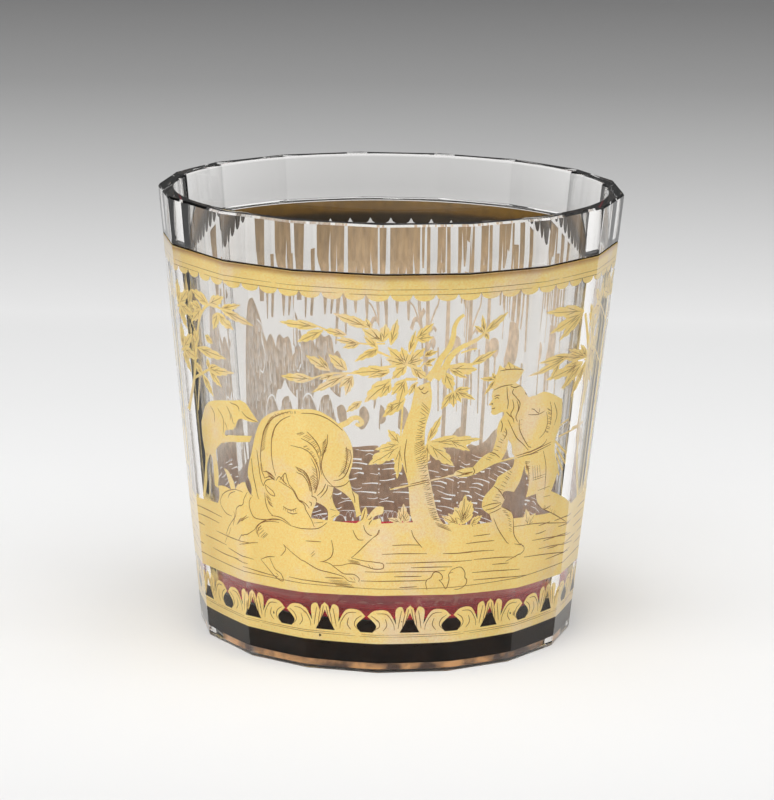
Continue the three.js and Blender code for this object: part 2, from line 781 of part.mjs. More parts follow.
// A saddled horse standing with its rump to the left
function horse() {
  const body = outline(
    [-10.4, 14.6],
    [[-9.4, 17.2], [-6, 18.8], [-1.6, 18.2], [2, 19.4]],
    [[5, 20.4], [8, 24.6]],
    [[9.2, 25.6]],
    [[9.6, 23.8], [12, 20.4]],
    [[11, 19.4]],
    [[8.6, 20.6], [7.4, 17], [6, 13.6]],
    [[6.4, 8], [5.4, 4], [5.8, -2]],
    [[4.2, -2]],
    [[4, 4], [4.2, 8], [2.6, 11.6]],
    [[-2, 11], [-5.6, 11.4]],
    [[-6.4, 7.6], [-7.6, 5], [-6.6, -2]],
    [[-8.2, -2]],
    [[-9.2, 5], [-9, 8.6], [-10.4, 11.4]],
  );
  const tail = stem([[-9.6, 16.4], [-12, 14.6], [-12, 8.4]], 1);
  return [body, tail];
}

// The frieze's layout: motifs by their place along the arc and their height on the wall

const ARC_LENGTH = TURN * ARC_RADIUS;
const BACK = ARC_LENGTH / 2;

function friezeOutlines() {
  return [
    // Front: the boar at bay under the old tree, the huntsman and his spear
    ...place(bigTree(), 7.5, 27),
    ...place(boar(), -15.5, 27),
    ...place([houndHead()], -28.8, 27.8),
    ...place(huntsman(), 26, 24.5),
    stem([[0.5, 33.5], [20, 37.4], [42, 42]], 0.5),
    ...place(bush(5.6), 13.8, 27),
    ...place(bush(3.8), 3, 27.4, 1, true),
    ...place(bush(4), -1.6, 27.2),
    ...place(bush(3.6), 23.6, 25.4),
    // Left of the boar: a waiting horse, a tree and a stag
    ...place(horse(), -38, 26),
    ...place(slimTree(), -50, 26, 1.05),
    ...place(stag(), -60.5, 25.4, 0.9, true),
    spray([-30.5, 61], -6, 7.6, 3, 90),
    stem([[-43.9, 61.6], [-37, 62.4], [-29.6, 61]], STEM_WIDTH),
    // Right of the huntsman: a tree, a hound and a bush
    ...place(slimTree(), 49, 25.4, 1.08, true),
    ...place(hound(), 75, 25.6),
    ...place(bush(4.6), 84, 25.6),
    // Back: a hanging tree and rounded hills
    ...place(hangingTree(), BACK - 5.5, 25.6, 1.35),
    ...place([rock(9.5, 21.5)], BACK + 13.5, 25),
    ...place([rock(7, 21.5)], BACK + 20.8, 25),
    ...place([rock(16, 26)], BACK + 30.4, 25),
  ];
}

// The ground line rises and falls a little round the beaker
function groundTop(azimuth) {
  return GROUND_TOP + 0.9 * Math.cos(azimuth) + 0.5 * Math.sin(3 * azimuth + 2) + 0.25 * Math.sin(11 * azimuth);
}

// It reaches a little lower at the back than at the front
function groundBottom(azimuth) {
  return GROUND_BOTTOM - 0.5 + 0.5 * Math.cos(azimuth) + 0.15 * Math.sin(5 * azimuth + 1);
}

// One sheet of the frieze between two stations: the ground and every motif that reaches it
function makeFriezeSheet(first, last) {
  const start = stationAzimuth(first);
  const end = stationAzimuth(last);
  const margin = 2 * MEAN_STEP;
  const azimuths = [];
  for (let azimuth = start - margin; azimuth < end + margin; azimuth += MEAN_STEP / 2) {
    azimuths.push(azimuth);
  }
  const stencils = [bandStencil(azimuths, groundBottom, groundTop, false)];
  for (const points of friezeOutlines()) {
    for (const turn of [-1, 0, 1]) {
      const moved = points.map((point) => new THREE.Vector2(point.x + turn * ARC_LENGTH, point.y));
      const low = Math.min(...moved.map((point) => point.x)) / ARC_RADIUS;
      const high = Math.max(...moved.map((point) => point.x)) / ARC_RADIUS;
      if (high > start && low < end) {
        stencils.push(stencil(moved));
      }
    }
  }
  const sheet = leafSheet(GROUND_BOTTOM - 2 * CUT_MARGIN, FRIEZE_TOP, first, last);
  return toGeometry(sheet.intersect(joinAll(stencils)));
}

// The beaker

const beaker = new THREE.Group();

function addPiece(name, geometry, look) {
  const piece = new THREE.Mesh(geometry, new THREE.MeshStandardMaterial({ ...look, flatShading: true }));
  piece.name = name;
  beaker.add(piece);
}

addPiece('outer_sleeve', makeOuterSleeve(), GLASS);
addPiece('inner_beaker', makeInnerBeaker(), GLASS);
addPiece('base_disc', makeBaseDisc(), GLASS);
addPiece('lip_seam_resin', makeLipSeam(), PITCH);
addPiece('foot_resin_ring', makePitchRing(), PITCH);
addPiece('foot_seam_resin', makeFootSeam(), AMBER);
addPiece('ruby_lacquer', makeRubyLacquer(), RUBY);
addPiece('gold_medallion', makeGoldRosette(), GOLD);
addPiece('gold_upper_border', makeUpperBorder(), GOLD);
addPiece('gold_lower_border', makeLowerBorder(), GOLD);

const FRIEZE_SHEETS = { front: [-16, 15], right: [15, 21], back: [21, 35] };
for (const [side, [first, last]] of Object.entries(FRIEZE_SHEETS)) {
  addPiece(`gold_frieze_${side}`, makeFriezeSheet(first, last), GOLD);
}

export default beaker;
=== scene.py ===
# Looks of the double-walled faceted beaker with its engraved gold leaf, on a pale studio sweep.
# Lengths are in millimetres and are turned into metres where a mesh is made. Only the lamps, the
# paper's shading and the camera's clipping are written in metres.
# Azimuth 0 faces the front, -Y, and grows towards +X. Outlines on the wall are drawn in
# millimetres along an arc of ARC_RADIUS and in heights.

import math
import random

import bmesh
import bpy
from mathutils import Matrix, Vector
from mathutils.geometry import delaunay_2d_cdt


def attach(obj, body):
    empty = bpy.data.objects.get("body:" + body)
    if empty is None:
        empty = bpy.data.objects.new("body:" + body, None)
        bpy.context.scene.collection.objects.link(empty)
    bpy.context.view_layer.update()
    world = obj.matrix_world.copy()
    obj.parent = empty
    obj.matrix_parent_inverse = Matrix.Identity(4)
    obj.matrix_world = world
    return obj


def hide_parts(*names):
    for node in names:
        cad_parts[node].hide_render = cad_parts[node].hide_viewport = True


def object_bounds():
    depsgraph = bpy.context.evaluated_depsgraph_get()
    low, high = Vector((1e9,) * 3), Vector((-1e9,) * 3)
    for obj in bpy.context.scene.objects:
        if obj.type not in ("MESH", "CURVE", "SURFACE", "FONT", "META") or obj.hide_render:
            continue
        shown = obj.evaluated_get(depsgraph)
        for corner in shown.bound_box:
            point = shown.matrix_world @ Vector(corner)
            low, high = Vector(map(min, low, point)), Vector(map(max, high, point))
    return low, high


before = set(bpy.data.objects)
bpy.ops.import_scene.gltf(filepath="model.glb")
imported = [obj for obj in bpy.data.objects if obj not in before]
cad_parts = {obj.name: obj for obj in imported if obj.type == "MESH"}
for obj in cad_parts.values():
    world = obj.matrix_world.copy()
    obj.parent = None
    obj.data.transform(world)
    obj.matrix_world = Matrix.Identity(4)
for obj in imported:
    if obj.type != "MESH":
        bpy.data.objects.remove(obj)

CAD_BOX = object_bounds()
MM = 0.001
BODY = "root"

# Driving sizes, as in the construction
HEIGHT = round(CAD_BOX[1][2] / MM, 3)
FOOT_RADIUS = 33.5
RIM_RADIUS = 41.4
FACET_EDGES = [math.radians(degrees) for degrees in (
    -2.2, 19.2, 40.8, 62.8, 84, 104, 124.2, 146, 167.2, 188.4, 209.5, 231.7, 250.6, 271, 290.2, 315.4, 336.2,
)]
FACETS = len(FACET_EDGES)
SLEEVE_TOP = 71.25
SLEEVE_WALL = 1.05
WALL_GAP = 0.22
CUP_WALL = 0.9
CUP_UNDERSIDE = 8.2
CUP_FLOOR = 10
CUP_OUTER_CORNER = 3.4
CUP_INNER_CORNER = 3
SHOULDER_HEIGHT = 71.5
RIM_CHAMFER_WIDTH = 0.25
RIM_CHAMFER_HEIGHT = 0.4
EDGE_BEVEL = 0.12
LACQUER_TOP = 10.3
DISC_RADIUS = 29.5
DISC_BOTTOM = 1.65
DISC_TOP = 7.78
ARC_RADIUS = 35

# The leaf clings to the sleeve's bore, a little into the glass, with the engraved lines on it and
# the foot's resin behind it
LEAF_BITE = 0.012
RESIN_BITE = 0.004
LEAF_THICKNESS = 0.05
LINE_LIFT = 0.008
LINE_THICKNESS = 0.01
LINE_WIDTH = 0.15
HATCH_WIDTH = 0.08
LINE_STEP = 0.45
LONG_LINE_STEP = 1.0
STROKE_STEPS = 4

# Borders and frieze
UPPER_BORDER_TOP = 71.1
UPPER_BORDER_LINES = (68.7, 67.85)
SCALLOP_CUSP = 67.9
SCALLOP_TIP = 66.7
SCALLOPS = 62
GROUND_TOP = 26
GROUND_BOTTOM = 14
LOWER_LINE_TOP = 7.25
LOWER_LINE_BOTTOM = 5.2
LOWER_BORDER_LINES = (6.85, 6.5)
ARC_LENGTH = math.tau * ARC_RADIUS
BACK = ARC_LENGTH / 2
SCROLL_PAIRS = 14
SCROLL_PITCH = ARC_LENGTH / SCROLL_PAIRS
FIRST_SCROLL = math.radians(-5.5) * ARC_RADIUS

FLAT_RATIO = math.cos(math.pi / FACETS)
WALL_SLOPE = (RIM_RADIUS - FOOT_RADIUS) * FLAT_RATIO / HEIGHT


# Radii of the walls at a height

def edge_radius(z):
    return FOOT_RADIUS + (RIM_RADIUS - FOOT_RADIUS) * z / HEIGHT


def flat_radius(z):
    return edge_radius(z) * FLAT_RATIO


def bore_radius(z):
    return flat_radius(z) - SLEEVE_WALL


def cup_radius(z):
    return bore_radius(z) - WALL_GAP


def inside_radius(z):
    return cup_radius(z) - CUP_WALL


def wall_point(radius, azimuth, z):
    return Vector((radius * math.sin(azimuth), -radius * math.cos(azimuth), z)) * MM


def edge_azimuth(i):
    """The azimuth of a facet edge, counted on past a full turn and back below zero."""
    turns, edge = divmod(i, FACETS)
    return FACET_EDGES[edge] + turns * math.tau


def facet_stretch(azimuth):
    """How far out a flat facet lies at an azimuth, as a share of the distance at its edges."""
    turned = FACET_EDGES[0] + (azimuth - FACET_EDGES[0]) % math.tau
    facet = max(i for i in range(FACETS) if FACET_EDGES[i] <= turned + 1e-9)
    start, end = edge_azimuth(facet), edge_azimuth(facet + 1)
    return math.cos((end - start) / 2) / math.cos(turned - (start + end) / 2)


# Pieces

def add_object(name, data):
    added = bpy.data.objects.new(name, data)
    bpy.context.scene.collection.objects.link(added)
    return added


def add_piece(name, mesh, materials, slot, *nodes):
    piece = add_object(name, mesh)
    for material in materials:
        mesh.materials.append(material)
    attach(piece, BODY)
    if nodes:
        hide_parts(*nodes)


def mesh_data(name, mesh):
    """The named data of an edited mesh, which is freed."""
    data = bpy.data.meshes.new(name)
    mesh.to_mesh(data)
    mesh.free()
    return data


# Materials

def new_material(name):
    material = bpy.data.materials.new(name)
    material.use_nodes = True
    tree = material.node_tree
    shader = tree.nodes["Principled BSDF"]
    return material, tree, shader


def object_place(tree):
    """The place of a point on its object, in metres."""
    return tree.nodes.new("ShaderNodeTexCoord").outputs["Object"]


def object_axes(tree):
    """The same place, split into X, Y and Z."""
    split = tree.nodes.new("ShaderNodeSeparateXYZ")
    tree.links.new(object_place(tree), split.inputs["Vector"])
    return split.outputs


def noise(tree, scale, detail=3.0, roughness=0.5):
    texture = tree.nodes.new("ShaderNodeTexNoise")
    texture.inputs["Scale"].default_value = scale
    texture.inputs["Detail"].default_value = detail
    texture.inputs["Roughness"].default_value = roughness
    tree.links.new(object_place(tree), texture.inputs["Vector"])
    return texture.outputs["Fac"]


def ramp(tree, factor, stops):
    node = tree.nodes.new("ShaderNodeValToRGB")
    elements = node.color_ramp.elements
    elements[0].position, elements[0].color = stops[0][0], (*stops[0][1], 1)
    elements[1].position, elements[1].color = stops[-1][0], (*stops[-1][1], 1)
    for position, colour in stops[1:-1]:
        element = elements.new(position)
        element.color = (*colour, 1)
    tree.links.new(factor, node.inputs["Fac"])
    return node.outputs["Color"]


def scaled_ramp(tree, value, low, high, stops):
    """Colours along a value, with the stops given as shares of the way from low to high."""
    scaled = tree.nodes.new("ShaderNodeMapRange")
    scaled.inputs["From Min"].default_value = low
    scaled.inputs["From Max"].default_value = high
    tree.links.new(value, scaled.inputs["Value"])
    return ramp(tree, scaled.outputs["Result"], stops)


def height_ramp(tree, stops):
    """Colours by height on the beaker in millimetres."""
    shares = [(z / HEIGHT, colour) for z, colour in stops]
    return scaled_ramp(tree, object_axes(tree)["Z"], 0.0, HEIGHT * MM, shares)


# Places of the colour sockets on a mix node, which holds sockets for numbers and vectors too
MIX_FACTOR, MIX_FIRST_COLOUR, MIX_SECOND_COLOUR = 0, 6, 7
MIX_COLOUR = 2


def mix(tree, factor, first, second, blend="MIX"):
    node = tree.nodes.new("ShaderNodeMix")
    node.data_type = "RGBA"
    node.blend_type = blend
    if isinstance(factor, float):
        node.inputs[MIX_FACTOR].default_value = factor
    else:
        tree.links.new(factor, node.inputs[MIX_FACTOR])
    tree.links.new(first, node.inputs[MIX_FIRST_COLOUR])
    tree.links.new(second, node.inputs[MIX_SECOND_COLOUR])
    return node.outputs[MIX_COLOUR]


def bump(tree, shader, height, strength, distance):
    node = tree.nodes.new("ShaderNodeBump")
    node.inputs["Strength"].default_value = strength
    node.inputs["Distance"].default_value = distance * MM
    tree.links.new(height, node.inputs["Height"])
    tree.links.new(node.outputs["Normal"], shader.inputs["Normal"])


def clear_where(tree, shader, factor, tint=(1, 1, 1)):
    """Makes a material clear where a factor is 1."""
    clear = tree.nodes.new("ShaderNodeBsdfTransparent")
    clear.inputs["Color"].default_value = (*tint, 1)
    either = tree.nodes.new("ShaderNodeMixShader")
    tree.links.new(factor, either.inputs["Fac"])
    tree.links.new(shader.outputs["BSDF"], either.inputs[1])
    tree.links.new(clear.outputs["BSDF"], either.inputs[2])
    tree.links.new(either.outputs["Shader"], tree.nodes["Material Output"].inputs["Surface"])


def glass_material():
    """Clear glass with faint mirror images, which lets light through to what lies behind it."""
    material, tree, shader = new_material("clear_glass")
    shader.inputs["Base Color"].default_value = (0.977, 0.969, 0.957, 1)
    shader.inputs["Roughness"].default_value = 0.0
    shader.inputs["IOR"].default_value = 1.5
    shader.inputs["Specular Tint"].default_value = (0.35, 0.35, 0.35, 1)
    shader.inputs["Transmission Weight"].default_value = 1.0
    path = tree.nodes.new("ShaderNodeLightPath")
    clear_where(tree, shader, path.outputs["Is Shadow Ray"], (0.96, 0.955, 0.94))
    return material


def gold_material():
    """Finely speckled leaf, worn pale in zones, and deeper just under the joint by a painted shadow."""
    material, tree, shader = new_material("gold_leaf")
    speckle = noise(tree, 3600, 4, 0.7)
    fresh = ramp(tree, speckle, [
        (0.3, (0.97, 0.64, 0.19)), (0.5, (1.0, 0.77, 0.27)), (0.7, (1.0, 0.85, 0.38)),
    ])
    worn = ramp(tree, speckle, [(0.35, (0.92, 0.68, 0.46)), (0.65, (1.0, 0.87, 0.66))])
    zones = ramp(tree, noise(tree, 95, 6, 0.6), [(0.5, (0, 0, 0)), (0.66, (0.75, 0.75, 0.75))])
    leaf_colour = mix(tree, zones, fresh, worn)
    # A painted shadow of the joint, which darkens the leaf just under it
    painted_shadow_under_joint = height_ramp(tree, [(70.1, (1, 1, 1)), (70.9, (0.68, 0.50, 0.38))])
    tree.links.new(mix(tree, 1.0, leaf_colour, painted_shadow_under_joint, "MULTIPLY"), shader.inputs["Base Color"])
    shader.inputs["Metallic"].default_value = 0.25
    shader.inputs["Roughness"].default_value = 0.42
    bump(tree, shader, noise(tree, 900, 3), 0.15, 0.05)
    return material


def gold_inner_material():
    """The leaf's inner face, with painted light and shade by height: brown on the ground, paler on hills and
    trees, and olive under the joint, a painted dark reflection.
    """
    material, tree, shader = new_material("gold_leaf_inner")
    # Painted light and shade by height, with a painted dark reflection, olive to near black, under the joint
    painted_shade_by_height = height_ramp(tree, [
        (12, (0.55, 0.34, 0.20)), (24, (0.66, 0.43, 0.27)),
        (27, (1, 0.82, 0.62)), (48, (1, 0.80, 0.60)), (58, (0.70, 0.50, 0.30)), (66.2, (0.36, 0.235, 0.10)),
        (66.5, (0.02, 0.01, 0.001)), (68.6, (0.03, 0.017, 0.002)),
        (69.3, (0.15, 0.075, 0.004)), (71, (0.21, 0.11, 0.012)),
    ])
    streaks = ramp(tree, noise(tree, 700, 3), [(0.3, (0.66, 0.66, 0.66)), (0.7, (1, 1, 1))])
    tree.links.new(mix(tree, 1.0, painted_shade_by_height, streaks, "MULTIPLY"), shader.inputs["Base Color"])
    shader.inputs["Metallic"].default_value = 0.0
    shader.inputs["Roughness"].default_value = 0.6
    return material


def plain_material(name, low, high, scale, roughness, detail=3.0, gloss=0.5, spread=0.2):
    """A mottled colour between a low and a high one. A smaller spread gives a stronger mottle."""
    material, tree, shader = new_material(name)
    shader.inputs["Specular IOR Level"].default_value = gloss
    mottle = noise(tree, scale, detail)
    colour = ramp(tree, mottle, [(0.5 - spread, low), (0.5 + spread, high)])
    tree.links.new(colour, shader.inputs["Base Color"])
    shader.inputs["Roughness"].default_value = roughness
    bump(tree, shader, mottle, 0.3, 0.1)
    return material


GLASS = glass_material()
GOLD = gold_material()
GOLD_INNER = gold_inner_material()
PITCH = plain_material("dark_resin", (0.005, 0.0025, 0.001), (0.018, 0.008, 0.004), 300, 0.35, gloss=0.0)
LINE = plain_material("engraved_line", (0.16, 0.068, 0.02), (0.34, 0.165, 0.055), 500, 0.6, gloss=0.0)
AMBER = plain_material(
    "amber_resin", (0.05, 0.018, 0.006), (0.66, 0.34, 0.13), 190, 0.4, detail=6.0, spread=0.09,
)
RUBY = plain_material("ruby_lacquer", (0.50, 0.006, 0.018), (0.90, 0.03, 0.055), 120, 0.25, gloss=0.0)


# Solids swept round the axis

STEPS_PER_FACET = 12
EDGE_EASE = math.radians(0.2)


def station_azimuths():
    """Azimuths round the beaker, with a close pair beside each facet edge."""
    azimuths = []
    for facet in range(FACETS):
        start, end = edge_azimuth(facet), edge_azimuth(facet + 1)
        azimuths += [start - EDGE_EASE, start + EDGE_EASE]
        azimuths += [start + (end - start) * step / STEPS_PER_FACET for step in range(1, STEPS_PER_FACET)]
    return azimuths


def swept_mesh(name, section_at, smooth, loop=True):
    """A closed mesh through the sections at all stations. smooth lists the runs of the section that
    are shaded round. A section that isn't a loop is capped at its ends."""
    mesh = bmesh.new()
    rings = []
    for azimuth in station_azimuths():
        rings.append([mesh.verts.new(wall_point(radius, azimuth, z)) for radius, z in section_at(azimuth)])
    size = len(rings[0])
    for here, there in zip(rings, rings[1:] + rings[:1]):
        for j in range(size if loop else size - 1):
            k = (j + 1) % size
            face = mesh.faces.new((here[j], there[j], there[k], here[k]))
            face.smooth = j in smooth
    if not loop:
        for j in (0, size - 1):
            ring = [r[j] for r in rings]
            cap = mesh.faces.new(ring if j else ring[::-1])
            cap.smooth = False
    bmesh.ops.recalc_face_normals(mesh, faces=mesh.faces)
    return mesh_data(name, mesh)


def ripple(azimuth, *waves):
    """How far a hand-laid edge wanders: the sum of waves, each with its height, count and phase."""
    return sum(height * math.sin(count * azimuth + phase) for height, count, phase in waves)


def floor_corner(radius_at, floor, corner_radius, steps=8, clearance=0.0):
    """A rounded corner between a level floor and the tapered wall above it."""
    tilt = math.atan(WALL_SLOPE)
    centre_r = radius_at(floor) + WALL_SLOPE * corner_radius - corner_radius / math.cos(tilt)
    centre_z = floor + corner_radius
    points = []
    for step in range(steps + 1):
        angle = -math.pi / 2 + (math.pi / 2 - tilt) * step / steps
        reach = corner_radius + clearance
        points.append((centre_r + reach * math.cos(angle), centre_z + reach * math.sin(angle)))
    return points


def wall_run(radius_at, start, end, rings=12, margin=0.25):
    """Points up or down a tapered wall, with close ones at its ends that keep its shading true."""
    direction = 1 if end > start else -1
    low, high = start + direction * margin, end - direction * margin
    heights = [start] + [low + (high - low) * i / rings for i in range(rings + 1)] + [end]
    return [(radius_at(z), z) for z in heights]


def make_sleeve():
    """The outer tube, with worn edges at its foot and a fine bevel at its top."""
    bore_ease, flat_inset = 0.15, 0.3
    worn_height, worn_depth, worn_top = 0.2, 0.08, 0.5
    bevel_bottom = SLEEVE_TOP - EDGE_BEVEL
    bore = wall_run(bore_radius, SLEEVE_TOP, bore_ease)

    def section_at(azimuth):
        stretch = facet_stretch(azimuth)
        return [
            (bore_radius(0) + bore_ease, 0),
            ((edge_radius(0) - flat_inset) * stretch, 0),
            ((edge_radius(worn_height) - worn_depth) * stretch, worn_height),
            (edge_radius(worn_top) * stretch, worn_top),
            (edge_radius(bevel_bottom) * stretch, bevel_bottom),
            (edge_radius(SLEEVE_TOP) * stretch - EDGE_BEVEL, SLEEVE_TOP),
            *bore,
        ]

    outside_points = 6
    bore_faces = range(outside_points, outside_points + len(bore) - 1)
    mesh = swept_mesh("glass_sleeve", section_at, bore_faces)
    add_piece("glass_sleeve", mesh, [GLASS], "clear_glass", "outer_sleeve")


def make_cup():
    """The inner beaker: round inside and under the shoulder, faceted round its thick lip."""
    corner = floor_corner(cup_radius, CUP_UNDERSIDE, CUP_OUTER_CORNER)
    underside = corner + wall_run(cup_radius, corner[-1][1], SHOULDER_HEIGHT)[1:]
    outside = [
        (edge_radius(SHOULDER_HEIGHT) - EDGE_BEVEL, SHOULDER_HEIGHT),
        (edge_radius(SHOULDER_HEIGHT + EDGE_BEVEL), SHOULDER_HEIGHT + EDGE_BEVEL),
        (edge_radius(HEIGHT - RIM_CHAMFER_HEIGHT), HEIGHT - RIM_CHAMFER_HEIGHT),
        (edge_radius(HEIGHT) - RIM_CHAMFER_WIDTH, HEIGHT),
    ]
    # The rim's rounded inner edge, as distances outwards and downwards
    rounding = [(0.32, 0), (0.12, 0.08), (0.02, 0.25)]
    lip = [(inside_radius(HEIGHT) + out, HEIGHT - down) for out, down in rounding]
    floor = floor_corner(inside_radius, CUP_FLOOR, CUP_INNER_CORNER)[::-1]
    inside = wall_run(inside_radius, lip[-1][1], floor[0][1])[1:-1] + floor

    def section_at(azimuth):
        stretch = facet_stretch(azimuth)
        return underside + [(radius * stretch, z) for radius, z in outside] + lip + inside

    flat = set(range(len(underside) - 1, len(underside) + len(outside)))
    total = len(underside) + len(outside) + len(lip) + len(inside)
    mesh = swept_mesh("glass_cup", section_at, set(range(total)) - flat, loop=False)
    add_piece("glass_cup", mesh, [GLASS], "clear_glass", "inner_beaker")


def make_disc():
    """The disc that closes the foot, with a rounded lower edge and a fine upper bevel."""
    rounding, middle, bevel = 0.4, 0.12, 0.1
    section = [
        (DISC_RADIUS - rounding, DISC_BOTTOM),
        (DISC_RADIUS - middle, DISC_BOTTOM + middle),
        (DISC_RADIUS, DISC_BOTTOM + rounding),
        (DISC_RADIUS, DISC_TOP - bevel),
        (DISC_RADIUS - bevel, DISC_TOP),
    ]
    mesh = swept_mesh("glass_base_disc", lambda azimuth: section, range(4), loop=False)
    add_piece("glass_base_disc", mesh, [GLASS], "clear_glass", "base_disc")


def make_lip_seam():
    """The resin between the sleeve's top edge and the inner beaker's shoulder."""
    air = 0.02
    bulge, inset = 0.05, 0.1
    low, high = SLEEVE_TOP + air, SHOULDER_HEIGHT - air
    middle = (low + high) / 2
    inner = cup_radius(high) + 0.06

    def section_at(azimuth):
        uneven = ripple(azimuth, (0.05, 23, 0), (0.04, 61, 1))
        outer = (edge_radius(low) - inset) * facet_stretch(azimuth) + uneven * 0.6
        return [(inner, low), (outer - bulge, low), (outer, middle), (outer - bulge, high), (inner, high)]

    mesh = swept_mesh("seam_under_lip", section_at, (1, 2))
    add_piece("seam_under_lip", mesh, [PITCH], "dark_resin", "lip_seam_resin")


def make_pitch_ring():
    """The dark resin that fills the foot round the disc, under the inner beaker's corner."""
    air = 0.05
    top = 9.4
    inner = DISC_RADIUS + 0.2
    corner = floor_corner(cup_radius, CUP_UNDERSIDE, CUP_OUTER_CORNER, clearance=air)
    under = [(radius, z) for radius, z in reversed(corner) if CUP_UNDERSIDE < z < top]
    gap_radius = min(radius for radius, z in corner if z >= top)
    section = [
        (inner, DISC_BOTTOM),
        (bore_radius(DISC_BOTTOM) + RESIN_BITE, DISC_BOTTOM),
        (bore_radius(top) + RESIN_BITE, top),
        (gap_radius, top),
        *under,
        (inner, CUP_UNDERSIDE - air),
    ]
    mesh = swept_mesh("pitch_ring", lambda azimuth: section, (1, 4, 5, 6, 7, 8))
    add_piece("pitch_ring", mesh, [PITCH], "dark_resin", "foot_resin_ring")


def make_amber_fillet():
    """A hollow fillet of amber resin between the disc's underside and the sleeve."""
    air = 0.03
    bottom, top = 0.5, 1.6
    outer = bore_radius(0.6) - air

    def section_at(azimuth):
        uneven = ripple(azimuth, (0.25, 7, 0), (0.2, 17, 2), (0.12, 41, 0))
        return [
            (28.9 + 0.4 * uneven, top),
            (outer - 1.4 - 0.3 * uneven, 1.25),
            (outer - 0.5, 0.85 + 0.15 * uneven),
            (outer, bottom),
            (bore_radius(top) - air, top),
        ]

    mesh = swept_mesh("amber_fillet", section_at, (0, 1, 2))
    add_piece("amber_fillet", mesh, [AMBER], "amber_resin", "foot_seam_resin")


def make_lacquer():
    """Lacquer that clings to the floor's underside and up its rounded corner."""
    thickness = 0.035
    steps = 16

    def coat(clearance):
        corner = floor_corner(cup_radius, CUP_UNDERSIDE, CUP_OUTER_CORNER, steps, clearance)
        return [(radius, z) for radius, z in corner if z < LACQUER_TOP]

    inner, outer = coat(-LEAF_BITE), coat(thickness)
    section = outer + inner[::-1]
    smooth = set(range(len(section) - 1)) - {len(outer) - 1}
    mesh = swept_mesh("lacquer", lambda azimuth: section, smooth, loop=False)
    add_piece("lacquer", mesh, [RUBY], "ruby_lacquer", "ruby_lacquer")


make_sleeve()
make_cup()
make_disc()
make_lip_seam()
make_pitch_ring()
make_amber_fillet()
make_lacquer()


# Outlines and lines on the wall, as lists of (arc, height) points

def between(p, q, r, s, t):
    """The value a share t of the way from q to r, on a smooth run through p, q, r and s."""
    bend = (2 * p - 5 * q + 4 * r - s) * t ** 2
    turn = (3 * q - p - 3 * r + s) * t ** 3
    return 0.5 * (2 * q + (r - p) * t + bend + turn)


def through(points, steps=5):
    """A smooth curve through points."""
    ends = [points[0], *points, points[-1]]
    curve = []
    for a, b, c, d in zip(ends, ends[1:], ends[2:], ends[3:]):
        for step in range(steps):
            curve.append(tuple(between(*values, step / steps) for values in zip(a, b, c, d)))
    return curve + [tuple(points[-1])]


def outline(start, *runs):
    """An outline from a start point and runs of points: one point is a straight side, more are a curve."""
    points = [start]
    for run in runs:
        if len(run) == 1:
            points.append(run[0])
        else:
            points += through([points[-1], *run])[1:]
    return points


def turned(point, angle, length, across=0.0):
    """The point a length away in a direction, and a distance across it to the left."""
    return (
        point[0] + length * math.cos(angle) - across * math.sin(angle),
        point[1] + length * math.sin(angle) + across * math.cos(angle),
    )


def placed(shapes, x, z, scale=1.0, mirrored=False):
    """Moves, sizes and mirrors the outlines or lines of a motif."""
    flip = -1 if mirrored else 1
    return [[(x + flip * scale * u, z + scale * v) for u, v in shape] for shape in shapes]


def placed_motif(shapes, lines, *place):
    """A motif's shapes and lines, both moved, sized and mirrored alike."""
    return placed(shapes, *place), placed(lines, *place)


def stem(points, width, end_width=None):
    """A stem through points, as a ribbon that can taper."""
    curve = through(points, STROKE_STEPS)
    end_width = width if end_width is None else end_width
    left, right = [], []
    for i, point in enumerate(curve):
        before, after = curve[max(i - 1, 0)], curve[min(i + 1, len(curve) - 1)]
        angle = math.atan2(after[1] - before[1], after[0] - before[0])
        half = (width + (end_width - width) * i / (len(curve) - 1)) / 2
        left.append(turned(point, angle, 0, half))
        right.append(turned(point, angle, 0, -half))
    return right + left[::-1]


# Half of a toothed leaf, as shares of its length and of its width
LEAF_SIDE = [
    (0.0, 0.05), (0.12, 0.24), (0.3, 0.47), (0.5, 0.5), (0.55, 0.36), (0.68, 0.4), (0.78, 0.3), (0.79, 0.18),
    (0.9, 0.13),
]


def leaf(base, tip, width):
    """A pointed leaf with toothed sides."""
    length = math.dist(base, tip)
    angle = math.atan2(tip[1] - base[1], tip[0] - base[0])
    left = [turned(base, angle, s * length, t * width) for s, t in LEAF_SIDE]
    right = [turned(base, angle, s * length, -t * width) for s, t in LEAF_SIDE]
    return right + [tip] + left[::-1]


def fans(*rows):
    """Leaves, as base, tip and width, from rows of a base, a width and one or more tips."""
    return [(base, tip, width) for base, width, *tips in rows for tip in tips]


def stems(*rows):
    """Stems from rows of points, a width and, where it tapers, the width at its end."""
    return [stem(*row) for row in rows]


def leaf_shapes(leaves):
    return [leaf(*each) for each in leaves]


def leaf_veins(leaves):
    """A rib and two side veins for each leaf."""
    veins = []
    for base, tip, width in leaves:
        length = math.dist(base, tip)
        angle = math.atan2(tip[1] - base[1], tip[0] - base[0])
        veins.append([turned(base, angle, s * length, 0.04 * width) for s in (0.08, 0.86)])
        for side in (1, -1):
            root = turned(base, angle, 0.2 * length)
            end = turned(base, angle, 0.48 * length, 0.3 * width * side)
            veins.append([root, end])
    return veins


def hatch(start, end, count):
    """Short strokes from one curve to another."""
    curves = [through(points, 8) for points in (start, end)]
    shares = [i / (count - 1) for i in range(count)]
    return [[curve[round(share * (len(curve) - 1))] for curve in curves] for share in shares]


SPRAY_SPREAD = math.radians(150)


